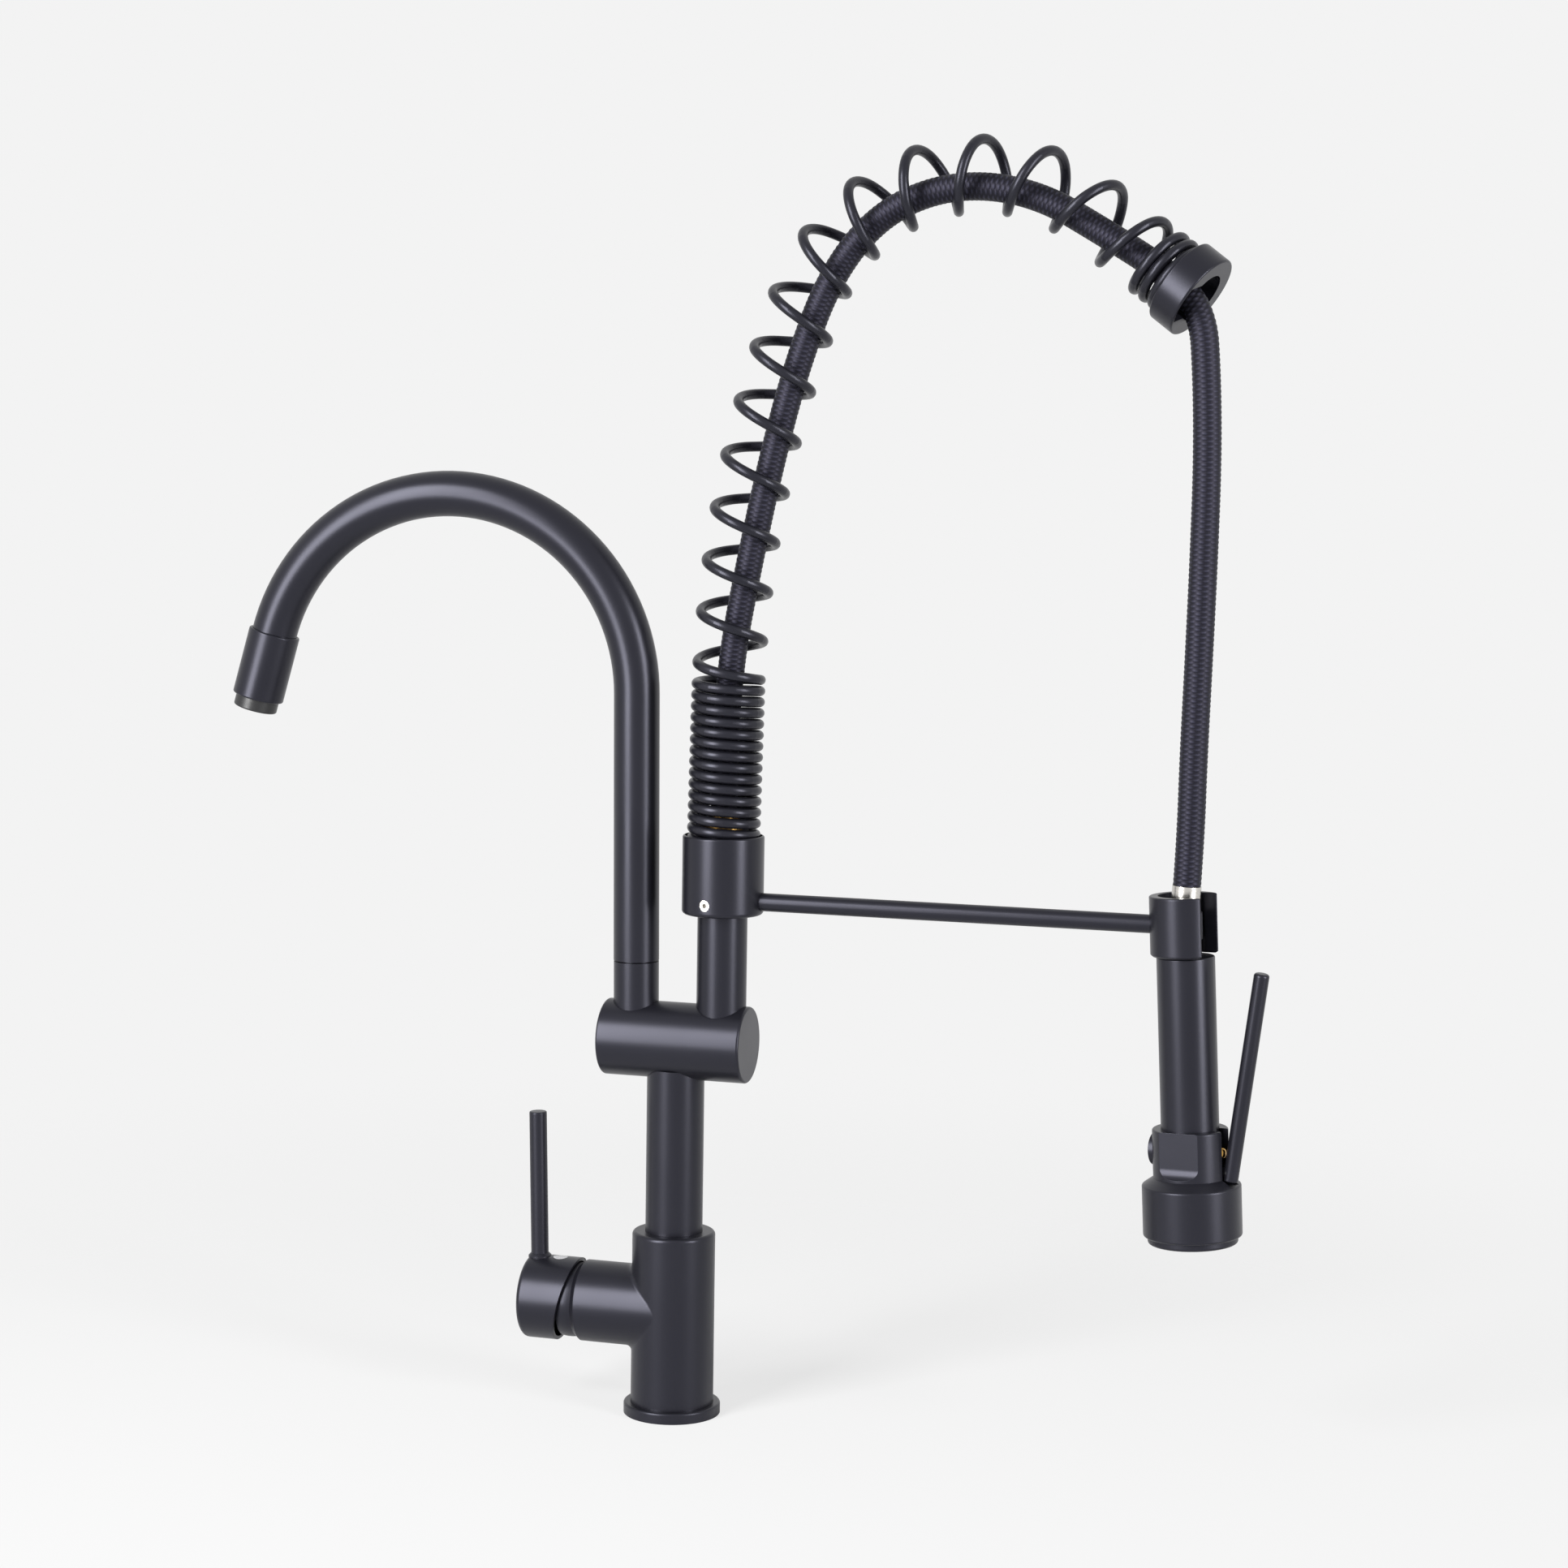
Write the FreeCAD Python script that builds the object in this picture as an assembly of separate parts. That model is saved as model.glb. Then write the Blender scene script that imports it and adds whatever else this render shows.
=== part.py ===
import FreeCAD, Part
import math
import os

# Deck mixer with a swivelling swan spout on the left and a spring-guided pull-down spray on the right.
# Millimetres. +Z is up, +X runs along the cross body towards the spray, -Y faces the user.
# The origin is the centre of the base on the deck.

V = FreeCAD.Vector
UP = V(0, 0, 1)
RIGHT = V(1, 0, 0)
BACK = V(0, 1, 0)

# Fits used throughout
running = 0.05
loose = 0.3
hair = 0.02

# Base flange and its gasket
flange_radius = 26.3
flange_height = 6.0
flange_edge = 1.2
gasket_outer = 24.6
gasket_inner = 23.4
gasket_height = 1.6

# Mixer body, its side branch and the holes in its foot
body_radius = 22.5
body_foot = 0.0
body_top = 100.5
body_edge = 2.0
branch_radius = 22.1
branch_z = 57.3
branch_end = 50.0
branch_blend = 3.0
stud_hole_radius = 3.4
stud_hole_depth = 16.0
stud_hole_x = 12.0
inlet_hole_radius = 4.5
inlet_hole_x = -8.0
inlet_hole_y = 9.0
inlet_port_radius = 3.4
inlet_drop = 7.0
outlet_port_radius = 4.0
outlet_rise = 9.0
water_way_radius = 6.0
seat_depth = 21.0

# Mixing cartridge, held in the branch by a ring nut
cartridge_radius = 17.5
cartridge_shoulder = 43.0
cartridge_nose_radius = 14.5
cartridge_nose_end = 54.0
port_seal_height = 1.0
port_seal_wall = 1.2
nut_radius = 19.5
nut_length = 4.0
nut_slot_width = 3.0
nut_slots = 4
pivot_x = 57.0
bonnet_radius = 20.4
bonnet_end = 61.0
bonnet_wall = 2.9
bonnet_land = 0.1
bonnet_chamfer = 2.8

# Cartridge rotor, spindle and their pin
rotor_radius = 9.0
rotor_start = 49.0
rotor_end = 60.0
rotor_floor = 3.0
spindle_width = 8.0
spindle_foot = 2.8
spindle_end = 78.0
pin_radius = 1.5
pin_half_length = 8.4

# Handle cap with an oblique rim, its lever and its plug
cap_radius = 22.8
cap_bore = 20.9
cap_end = 83.4
cap_plate = 4.4
cap_edge = 3.0
rim_top = 54.0
rim_bottom = 64.8
boss_radius = 9.4
boss_end = 62.5
lug_width = 12.0
lug_depth = 10.0
lug_length = 7.0
lever_radius = 4.8
lever_x = 77.3
lever_top = 160.3
lever_lean = 1.3
lever_edge = 0.8
lever_foot_radius = 6.3
lever_foot_height = 1.5
lever_root = 18.6
lever_stud_radius = 3.0
lever_stud_length = 7.0
plug_x = 65.3
plug_radius = 4.0
grub_radius = 2.0
grub_socket_radius = 1.0
grub_socket_depth = 2.0

# Riser tube between the mixer body and the cross body
riser_radius = 15.5
riser_wall = 1.8
riser_foot = 82.0
riser_head = 190.0
riser_seal_section = 0.9
riser_seal_levels = (86.0, 93.0)

# Cross body with the two sockets and the water gallery
cross_radius = 20.6
cross_left = 39.4
cross_right = 41.0
cross_z = 204.9
cross_edge = 1.3
gallery_radius = 9.0
gallery_right = 34.0
end_plug_radius = 12.0
end_plug_length = 5.0

# Automatic diverter in the gallery
sleeve_half_length = 12.4
sleeve_x = -1.6
sleeve_bore = 6.5
sleeve_seat_radius = 4.5
sleeve_seat_depth = 2.0
sleeve_lip_radius = 5.6
sleeve_lip_length = 1.5
poppet_length = 7.0
poppet_nose_radius = 4.1
poppet_nose_length = 2.0
poppet_stem_radius = 2.0
diverter_wire = 0.8
diverter_coil_radius = 5.2
diverter_turns = 5

# Left post and the swan spout that turns on it
left_post_x = -23.2
spout_lean = 0.55
post_stub_radius = 12.2
post_stub_foot = cross_z + end_plug_radius + loose
spout_joint_z = 246.9
spout_joint_gap = 0.7
spigot_radius = 10.0
spigot_top = 276.0
spigot_bore = 7.5
bush_foot = 262.0
bush_length = 9.0
spout_radius = 12.3
spout_wall = 1.55
spout_rise = 391.3
spout_bend_radius = 106.0
spout_bend_angle = 164.0
spout_turn = 2.4
seal_section = 0.9
spigot_seal_levels = (251.5, 257.0)

# Aerator at the end of the swan spout
aerator_radius = 14.0
aerator_length = 37.4
aerator_edge = 0.9
aerator_socket = 7.0
aerator_tip_radius = 11.9
aerator_tip_length = 6.6
aerator_waist_radius = 10.6
aerator_washer_height = 2.0
aerator_screen_radius = 9.6
aerator_screen_depth = 2.0
aerator_screen_thickness = 2.0
aerator_hole_radius = 0.75
aerator_hole_pitch = 2.6

# Right post that turns in the cross body and carries the arch
right_post_x = 25.2
right_post_radius = 13.4
right_post_foot = 207.6
right_post_top = 321.5
right_post_bore = 10.5
right_seal_levels = (214.7, 218.2)
retainer_level = 210.8
retainer_groove_depth = 1.2
retainer_groove_width = 3.6
retainer_radius = 1.4
retainer_sink = 1.5
retainer_socket_depth = 1.0
nipple_flange_radius = 12.6
nipple_flange_height = 2.5
nipple_spigot_length = 9.0
nipple_neck_radius = 8.4
nipple_neck_length = 6.5
nipple_bore = 4.5

# Collar on the right post, arm rod and dock ring
collar_radius = 21.9
collar_foot = 275.2
collar_top = 317.6
collar_foot_edge = 2.2
collar_top_edge = 1.2
collar_cup_radius = 20.75
collar_cup_floor = 305.9
collar_screw_turn = 10.0
collar_screw_radius = 3.0
collar_screw_level = 281.8
collar_screw_socket = 2.5
collar_screw_sink = 0.8
arm_radius = 4.85
arm_level = 282.6
arm_reach = 248.4
arm_seat = 5.0
dock_radius = 18.0
dock_bore = 13.6
dock_top = 15.9
dock_foot = -15.2
dock_slot = 24.2
dock_slot_turn = -11.2
dock_chamfer = 1.0
dock_top_edge = 0.8
dock_lean = 3.1
dock_rod_end = 16.4
cradle_foot = -14.8
cradle_top = -7.0
cradle_bore = 7.9
cradle_front = 4.0

# Arch spring: a left-handed coil that follows the arch
wire_diameter = 5.35
coil_radius = 17.0
coil_swell = 0.9
arch_foot_shift = -0.2
arch_foot_gap = 0.4
arch_lean = 1.1
arch_straight = 85.6
arch_rise_radius = 611.0
arch_rise_angle = 19.8
arch_crown_radius = 97.8
arch_crown_angle = 106.2
arch_run_out = 51.0
arch_side_turn = 8.0
closed_pitch = 5.9
open_pitch_low = 26.1
open_pitch_high = 32.38
end_pitch = 6.1
closed_turns = 15.5
opening_turns = 0.7
open_turns = 13.53
closing_turns = 1.2
end_turns = 2.455
start_angle = 56.0

# End ring that closes the spring and lets the hose out
ring_radius = 22.8
ring_length = 15.0
ring_bore = 13.6
ring_cup_radius = 21.5
ring_cup_depth = 4.7
ring_edge = 1.0
ring_slot_width = 20.3
ring_slot_turn = 24.5

# Hose from the post's nipple over the arch to the spray
hose_radius = 7.25
hose_start_run = 30.0
hose_end_run = 26.0

# Ferrule and nut at the hose end
ferrule_radius = 7.5
ferrule_length = 16.3
ferrule_tilt = 5.7
ferrule_wall = 2.0
hose_nut_radius = 9.0
hose_nut_top = 7.0
hose_nut_recess = 2.5
hose_nut_foot = -6.7
hose_nut_flutes = 16
flute_radius = 0.7
flute_start = 2.0

# Spray: neck, handle tube, valve body, head
spray_turn = 13.0
neck_radius = 7.6
neck_top = -7.3
neck_bore = 4.5
neck_plug_length = 12.0
handle_radius = 15.0
handle_wall = 1.8
handle_top = -15.6
handle_foot = -112.0
handle_edge = 0.8
valve_radius = 19.6
valve_top = -105.0
valve_foot = -130.4
valve_edge = 1.0
valve_flat = 16.5
valve_flat_foot = -123.5
valve_flat_run_out = 6.5
valve_stub_radius = 14.0
valve_stub_foot = -140.0
valve_bore = 5.5
slot_half_width = 4.7
slot_floor = 12.5
head_radius = 25.6
head_shoulder = -134.4
head_foot = -161.0
head_wall = 2.4
head_roof = 4.0
head_edge = 1.2
face_radius = 23.3
face_foot = -164.9
face_edge = 1.4
face_wall = 3.0
face_top = -158.6
nozzle_ring_radii = (7.0, 12.5, 18.0)
nozzle_ring_counts = (6, 12, 18)
nozzle_radius = 0.7
disc_top = -147.0
disc_height = 2.5

# Spray valve: stem, spring plug, lever and pin
stem_level = -117.0
stem_radius = 3.0
stem_tip = 19.3
stem_tip_edge = 2.4
stem_collar_radius = 4.2
stem_collar_length = 3.0
stem_collar_start = -8.0
stem_chamber_radius = 4.7
valve_plug_radius = 8.3
valve_plug_seat = -17.0
valve_plug_rim = 20.4
valve_plug_dome = 1.4
stem_spring_wire = 0.8
stem_spring_radius = 3.4
stem_spring_turns = 5
grip_radius = 4.0
grip_foot_reach = 21.4
grip_foot_level = -131.3
grip_head_reach = 41.3
grip_head_level = -23.1
grip_edge = 1.5
grip_pin_reach = 16.3
grip_pin_level = -127.0
grip_pin_half_length = 8.0
grip_notch_drop = 2.4
tongue_half_width = 2.6
tongue_eye_radius = 3.4


# Shared shape makers

def rod(start, direction, radius, length):
    """Round bar from a point along a direction."""
    return Part.makeCylinder(radius, length, start, direction)


def tube(start, direction, outer, inner, length):
    """Round tube from a point along a direction."""
    return rod(start, direction, outer, length).cut(rod(start, direction, inner, length))


def block(x0, x1, y0, y1, z0, z1):
    """Box between two corners."""
    return Part.makeBox(x1 - x0, y1 - y0, z1 - z0, V(x0, y0, z0))


def turned(profile):
    """Solid turned about +Z from a closed outline of (radius, height) pairs."""
    corners = [V(r, 0, h) for r, h in profile]
    face = Part.Face(Part.makePolygon(corners + corners[:1]))
    return face.revolve(V(0, 0, 0), UP, 360)


def o_ring(centre, direction, radius, section):
    """Rubber ring of round section."""
    return Part.makeTorus(radius, section, centre, direction)


def ring_groove(centre, bottom, outer, width):
    """Band cut away round a vertical shaft for a seal."""
    start = centre - UP * (width / 2)
    return tube(start, UP, outer, bottom, width)


def edges_at(shape, radius, level):
    """Round edges of one radius whose centre lies at one height."""
    found = []
    for edge in shape.Edges:
        curve = edge.Curve
        if isinstance(curve, Part.Circle) and abs(curve.Radius - radius) < 0.01:
            if abs(curve.Center.z - level) < 0.01:
                found.append(edge)
    return found


def placed(shape, placement):
    """The shape moved from its own frame into the mixer's frame."""
    moved = shape.copy()
    moved.Placement = placement.multiply(moved.Placement)
    return moved


def save(name, shape):
    """One STEP file for one piece."""
    shape.exportStep("parts/" + name + ".step")


def mid_of_arc(start, tangent, end):
    """Middle point of the circular arc that leaves start along tangent and reaches end."""
    chord = end - start
    along = FreeCAD.Vector(chord).normalize()
    side = tangent - along * tangent.dot(along)
    if side.Length < 1e-9:
        return None
    half_angle = math.acos(max(-1.0, min(1.0, tangent.dot(along)))) / 2
    return start + chord * 0.5 + side.normalize() * (chord.Length / 2 * math.tan(half_angle))


def biarc_edges(start, start_tangent, end, end_tangent):
    """Two tangent arcs between two points with given directions."""
    chord = end - start
    both = start_tangent + end_tangent
    spread = 2 * (1 - start_tangent.dot(end_tangent))
    lean = chord.dot(both)
    reach = (math.sqrt(lean * lean + spread * chord.dot(chord)) - lean) / spread
    joint = (start + end + (start_tangent - end_tangent) * reach) * 0.5
    first_mid = mid_of_arc(start, start_tangent, joint)
    second_mid = mid_of_arc(end, end_tangent * -1, joint)
    return [Part.Arc(start, first_mid, joint).toShape(), Part.Arc(joint, second_mid, end).toShape()]


def coil(position, turns, wire):
    """Wire solid through position(turn), in biarcs of a quarter turn, with straight ends."""
    def tangent(turn):
        step = 0.001
        return (position(turn + step) - position(turn - step)).normalize()

    count = int(math.ceil(turns * 4))
    marks = [turns * i / count for i in range(count + 1)]
    points = [position(mark) for mark in marks]
    tangents = [tangent(mark) for mark in marks]
    start = points[0] - tangents[0] * wire
    finish = points[-1] + tangents[-1] * wire
    edges = [Part.LineSegment(start, points[0]).toShape()]
    for i in range(count):
        edges += biarc_edges(points[i], tangents[i], points[i + 1], tangents[i + 1])
    edges.append(Part.LineSegment(points[-1], finish).toShape())
    profile = Part.Wire([Part.Circle(start, tangents[0], wire / 2).toShape()])
    return Part.Wire(edges).makePipeShell([profile], True, False), edges


# Frames of the sub-assemblies

branch_frame = FreeCAD.Placement(V(0, 0, branch_z), FreeCAD.Rotation(UP, BACK, RIGHT * -1, "ZXY"))
diverter_frame = FreeCAD.Placement(V(sleeve_x, 0, cross_z), FreeCAD.Rotation(UP * -1, BACK, RIGHT, "ZXY"))
arm_axis_x = right_post_x + arm_reach
dock_frame = FreeCAD.Placement(V(arm_axis_x, 0, arm_level), FreeCAD.Rotation(BACK, -dock_lean))
spray_frame = dock_frame.multiply(FreeCAD.Placement(V(0, 0, 0), FreeCAD.Rotation(UP, -spray_turn)))
ferrule_frame = dock_frame.multiply(
    FreeCAD.Placement(V(0, 0, hose_nut_top - hose_nut_recess), FreeCAD.Rotation(BACK, ferrule_tilt)))
joint_frame = FreeCAD.Placement(V(left_post_x, 0, spout_joint_z), FreeCAD.Rotation(BACK, -spout_lean))
left_post_frame = joint_frame.multiply(FreeCAD.Placement(V(0, 0, -spout_joint_z), FreeCAD.Rotation()))
spout_frame = left_post_frame.multiply(FreeCAD.Placement(V(0, 0, 0), FreeCAD.Rotation(UP, spout_turn)))


# Base

def make_base_flange():
    bore = body_radius + running
    flange = tube(V(0, 0, 0), UP, flange_radius, bore, flange_height)
    flange = flange.makeFillet(flange_edge, edges_at(flange, flange_radius, flange_height))
    groove = tube(V(0, 0, 0), UP, gasket_outer + hair, gasket_inner - hair, gasket_height + hair)
    return flange.cut(groove)


def make_base_gasket():
    return tube(V(0, 0, 0), UP, gasket_outer, gasket_inner, gasket_height)


# Mixer body

def make_mixer_body():
    trunk = rod(V(0, 0, body_foot), UP, body_radius, body_top - body_foot)
    trunk = trunk.makeFillet(body_edge, edges_at(trunk, body_radius, body_top))
    branch = rod(V(0, 0, branch_z), RIGHT * -1, branch_radius, branch_end)
    body = trunk.fuse(branch).removeSplitter()
    seam = []
    for edge in body.Edges:
        box = edge.BoundBox
        on_side = box.XMax < -0.2 and box.XMin > -body_radius - 0.1
        if on_side and abs(box.Center.z - branch_z) < branch_radius + 1 and box.ZLength > 1:
            seam.append(edge)
    body = body.makeFillet(branch_blend, seam)
    cuts = [
        rod(V(0, 0, riser_foot - loose), UP, riser_radius + running, body_top),
        rod(V(0, 0, branch_z + outlet_rise), UP, water_way_radius, riser_foot - branch_z - outlet_rise),
        rod(V(0, 0, branch_z + outlet_rise), RIGHT * -1, outlet_port_radius, seat_depth),
        rod(V(-seat_depth, 0, branch_z), RIGHT * -1, cartridge_radius + running * 2, branch_end),
        rod(V(-cartridge_shoulder, 0, branch_z), RIGHT * -1, nut_radius + running * 2, branch_end),
        rod(V(stud_hole_x, 0, body_foot), UP, stud_hole_radius, stud_hole_depth),
    ]
    for side in (-1, 1):
        y = inlet_hole_y * side
        top = branch_z - inlet_drop
        cuts.append(rod(V(inlet_hole_x, y, body_foot), UP, inlet_hole_radius, top - body_foot))
        cuts.append(rod(V(inlet_hole_x, y, top), RIGHT * -1, inlet_port_radius, seat_depth + inlet_hole_x))
    for cut in cuts:
        body = body.cut(cut)
    return body


# Mixing cartridge, in the branch frame: +Z points out of the branch, +X points up

def port_spots():
    """Height, sideways place and radius of the cartridge's three ports."""
    spots = [(outlet_rise, 0.0, outlet_port_radius)]
    for side in (-1, 1):
        spots.append((-inlet_drop, inlet_hole_y * side, inlet_port_radius))
    return spots


def make_port_seals():
    rings = []
    for height, side, radius in port_spots():
        start = V(height, side, seat_depth)
        rings.append(tube(start, UP, radius + port_seal_wall, radius, port_seal_height))
    return placed(Part.makeCompound(rings), branch_frame)


def make_cartridge_case():
    foot = seat_depth + port_seal_height
    cavity = rotor_start - loose
    case = turned([
        (0, foot),
        (cartridge_radius, foot),
        (cartridge_radius, cartridge_shoulder),
        (cartridge_nose_radius, cartridge_shoulder),
        (cartridge_nose_radius, cartridge_nose_end),
        (rotor_radius + running, cartridge_nose_end),
        (rotor_radius + running, cavity),
        (0, cavity),
    ])
    for height, side, radius in port_spots():
        case = case.cut(rod(V(height, side, foot), UP, radius, (cavity - foot) / 2))
    return placed(case, branch_frame)


def make_cartridge_nut():
    inner = cartridge_nose_radius + 2 * running
    nut = tube(V(0, 0, cartridge_shoulder), UP, nut_radius, inner, nut_length)
    half = nut_slot_width / 2
    face = cartridge_shoulder + nut_length
    for i in range(nut_slots):
        slot = block(inner - 1, inner + half, -half, half, face - half, face + 1)
        slot.rotate(V(0, 0, 0), UP, 360 * i / nut_slots)
        nut = nut.cut(slot)
    return placed(nut, branch_frame)


def make_bonnet_ring():
    skirt_start = cartridge_shoulder + nut_length + loose
    skirt_outer = nut_radius
    inner = bonnet_radius - bonnet_wall
    chamfer_end = branch_end + bonnet_chamfer

    def ball_radius(level):
        return math.sqrt(bonnet_radius ** 2 - (level - pivot_x) ** 2)

    def corner(radius, level):
        return V(radius, 0, level)

    shoulder = corner(ball_radius(chamfer_end), chamfer_end)
    crest = corner(bonnet_radius, pivot_x)
    tip = corner(ball_radius(bonnet_end), bonnet_end)
    straight = [
        tip,
        corner(inner, bonnet_end),
        corner(inner, skirt_start),
        corner(skirt_outer, skirt_start),
        corner(skirt_outer, branch_end),
        corner(branch_radius, branch_end),
        corner(branch_radius, branch_end + bonnet_land),
        shoulder,
    ]
    edges = [Part.LineSegment(a, b).toShape() for a, b in zip(straight, straight[1:])]
    edges.append(Part.Arc(shoulder, crest, tip).toShape())
    ring = Part.Face(Part.Wire(edges)).revolve(V(0, 0, 0), UP, 360)
    return placed(ring, branch_frame)


def make_cartridge_rotor():
    rotor = rod(V(0, 0, rotor_start), UP, rotor_radius, rotor_end - rotor_start)
    half = spindle_width / 2 + running * 2
    floor = rotor_start + rotor_floor
    slot = block(-rotor_radius, rotor_radius, -half, half, floor, rotor_end + 1)
    pin_hole = rod(V(0, -rotor_radius, pivot_x), BACK, pin_radius + hair, 2 * rotor_radius)
    return placed(rotor.cut(slot).cut(pin_hole), branch_frame)


def make_rotor_pin():
    pin = rod(V(0, -pin_half_length, pivot_x), BACK, pin_radius, 2 * pin_half_length)
    return placed(pin, branch_frame)


def make_cartridge_spindle():
    half = spindle_width / 2
    bar = block(-half, half, -half, half, pivot_x - spindle_foot, spindle_end)
    hole = rod(V(0, -half, pivot_x), BACK, pin_radius + running, spindle_width)
    return placed(bar.cut(hole), branch_frame)


# Handle cap, in the branch frame

def lever_tilt(shape):
    """The lever's slight outward lean, about the middle of the cap's top."""
    leaning = shape.copy()
    leaning.rotate(V(cap_radius, 0, lever_x), BACK, -lever_lean)
    return leaning


def make_handle_cap():
    plate = cap_end - cap_plate
    cap = rod(V(0, 0, branch_end), UP, cap_radius, cap_end - branch_end)
    cap = cap.makeFillet(cap_edge, edges_at(cap, cap_radius, cap_end))
    cap = cap.cut(rod(V(0, 0, branch_end), UP, cap_bore, plate - branch_end))
    reach = 2 * cap_radius
    slope = (rim_bottom - rim_top) / (2 * cap_radius)
    middle = (rim_top + rim_bottom) / 2
    low = branch_end - 1
    waste = Part.Face(Part.makePolygon([
        V(-reach, -reach, low),
        V(reach, -reach, low),
        V(reach, -reach, middle - slope * reach),
        V(-reach, -reach, middle + slope * reach),
        V(-reach, -reach, low),
    ])).extrude(BACK * (2 * reach))
    cap = cap.cut(waste)
    boss = rod(V(0, 0, boss_end), UP, boss_radius, plate - boss_end)
    lug = block(cap_bore - lug_depth, cap_bore, -lug_width / 2, lug_width / 2, plate - lug_length, plate)
    foot_start = V(lever_root, 0, lever_x)
    foot = rod(foot_start, RIGHT, lever_foot_radius, cap_radius + lever_foot_height - lever_root)
    top = [edge for edge in foot.Edges if abs(edge.BoundBox.Center.x - cap_radius - lever_foot_height) < 0.01]
    foot = lever_tilt(foot.makeChamfer(lever_foot_height * 0.9, top))
    cap = cap.fuse([boss, lug, foot]).removeSplitter()
    half = spindle_width / 2 + running
    cap = cap.cut(block(-half, half, -half, half, boss_end - 1, spindle_end + running))
    cap = cap.cut(lever_tilt(rod(V(lever_root, 0, lever_x), RIGHT, lever_radius + hair, cap_radius)))
    stud_start = lever_root - lever_stud_length
    stud = rod(V(stud_start, 0, lever_x), RIGHT, lever_stud_radius + hair, lever_stud_length)
    cap = cap.cut(lever_tilt(stud))
    cap = cap.cut(rod(V(cap_bore - 1, 0, plug_x), RIGHT, plug_radius + hair, cap_radius))
    cap = cap.cut(rod(V(0, 0, plug_x), RIGHT, grub_radius + hair, cap_bore))
    return placed(cap, branch_frame)


def make_cap_grub_screw():
    start = spindle_width / 2
    end = boss_radius - loose
    screw = rod(V(start, 0, plug_x), RIGHT, grub_radius, end - start)
    socket = rod(V(end - grub_socket_depth, 0, plug_x), RIGHT, grub_socket_radius, grub_socket_depth)
    return placed(screw.cut(socket), branch_frame)


def make_cap_plug():
    stem = rod(V(cap_bore + hair, 0, plug_x), RIGHT, plug_radius, cap_radius)
    skin = rod(V(0, 0, plug_x - 2 * plug_radius), UP, cap_radius + hair, 4 * plug_radius)
    return placed(stem.common(skin), branch_frame)


def make_pin_lever():
    length = lever_top - branch_z - lever_root
    bar = rod(V(0, 0, 0), UP, lever_radius, length)
    bar = bar.makeFillet(lever_edge, edges_at(bar, lever_radius, length))
    stud = rod(V(0, 0, -lever_stud_length), UP, lever_stud_radius, lever_stud_length)
    bar = bar.fuse(stud).removeSplitter()
    upright = FreeCAD.Placement(V(lever_root, 0, lever_x), FreeCAD.Rotation(BACK, 90))
    return placed(lever_tilt(placed(bar, upright)), branch_frame)


# Riser

def make_riser_tube():
    length = riser_head - riser_foot
    riser = tube(V(0, 0, riser_foot), UP, riser_radius, riser_radius - riser_wall, length)
    depth = riser_radius - riser_seal_section - hair
    for level in riser_seal_levels:
        riser = riser.cut(ring_groove(V(0, 0, level), depth, riser_radius + 1, riser_seal_section + loose))
    return riser


def make_riser_seals():
    half = riser_seal_section / 2
    centre_radius = riser_radius - half + hair
    rings = [o_ring(V(0, 0, level), UP, centre_radius, half) for level in riser_seal_levels]
    return Part.makeCompound(rings)


# Cross body and diverter

def make_cross_body():
    length = cross_left + cross_right
    body = rod(V(-cross_left, 0, cross_z), RIGHT, cross_radius, length)
    rims = [edge for edge in body.Edges if isinstance(edge.Curve, Part.Circle)]
    body = body.makeFillet(cross_edge, rims)
    top = cross_z + cross_radius + 1
    stub_hole = rod(UP * post_stub_foot, UP, post_stub_radius + running, top - post_stub_foot)
    spigot_way = rod(UP * cross_z, UP, spigot_bore, post_stub_foot - cross_z + hair)
    cuts = [
        rod(V(-cross_left, 0, cross_z), RIGHT, gallery_radius, cross_left + gallery_right),
        rod(V(-cross_left, 0, cross_z), RIGHT, end_plug_radius + running, end_plug_length),
        rod(V(0, 0, cross_z - cross_radius - 1), UP, riser_radius + running,
            riser_head - cross_z + cross_radius + 1),
        rod(V(0, 0, riser_head), UP, water_way_radius, cross_z - riser_head),
        placed(stub_hole, left_post_frame),
        placed(spigot_way, left_post_frame),
        rod(V(right_post_x, 0, right_post_foot - loose), UP, right_post_radius + running, top),
        rod(V(right_post_x, 0, cross_z), UP, gallery_radius, right_post_foot - cross_z),
        rod(V(right_post_x, 0, retainer_level), BACK, retainer_radius + hair, cross_radius),
    ]
    for cut in cuts:
        body = body.cut(cut)
    return body


def make_cross_end_plug():
    return rod(V(-cross_left, 0, cross_z), RIGHT, end_plug_radius, end_plug_length)


def make_diverter_sleeve():
    half = sleeve_half_length
    sleeve = turned([
        (sleeve_seat_radius, -half),
        (gallery_radius - running, -half),
        (gallery_radius - running, half),
        (sleeve_lip_radius, half),
        (sleeve_lip_radius, half - sleeve_lip_length),
        (sleeve_bore, half - sleeve_lip_length),
        (sleeve_bore, sleeve_seat_depth - half),
        (sleeve_seat_radius, sleeve_seat_depth - half),
    ])
    sleeve = sleeve.cut(rod(V(0, 0, 0), RIGHT, sleeve_seat_radius, gallery_radius))
    return placed(sleeve, diverter_frame)


def make_diverter_poppet():
    end = sleeve_half_length - sleeve_lip_length - loose
    start = end - poppet_length
    body = turned([
        (0, start - poppet_nose_length),
        (poppet_nose_radius, start - poppet_nose_length),
        (poppet_nose_radius, start),
        (sleeve_bore - running, start),
        (sleeve_bore - running, end),
        (poppet_stem_radius, end),
        (poppet_stem_radius, end + sleeve_lip_length),
        (0, end + sleeve_lip_length),
    ])
    return placed(body, diverter_frame)


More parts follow.
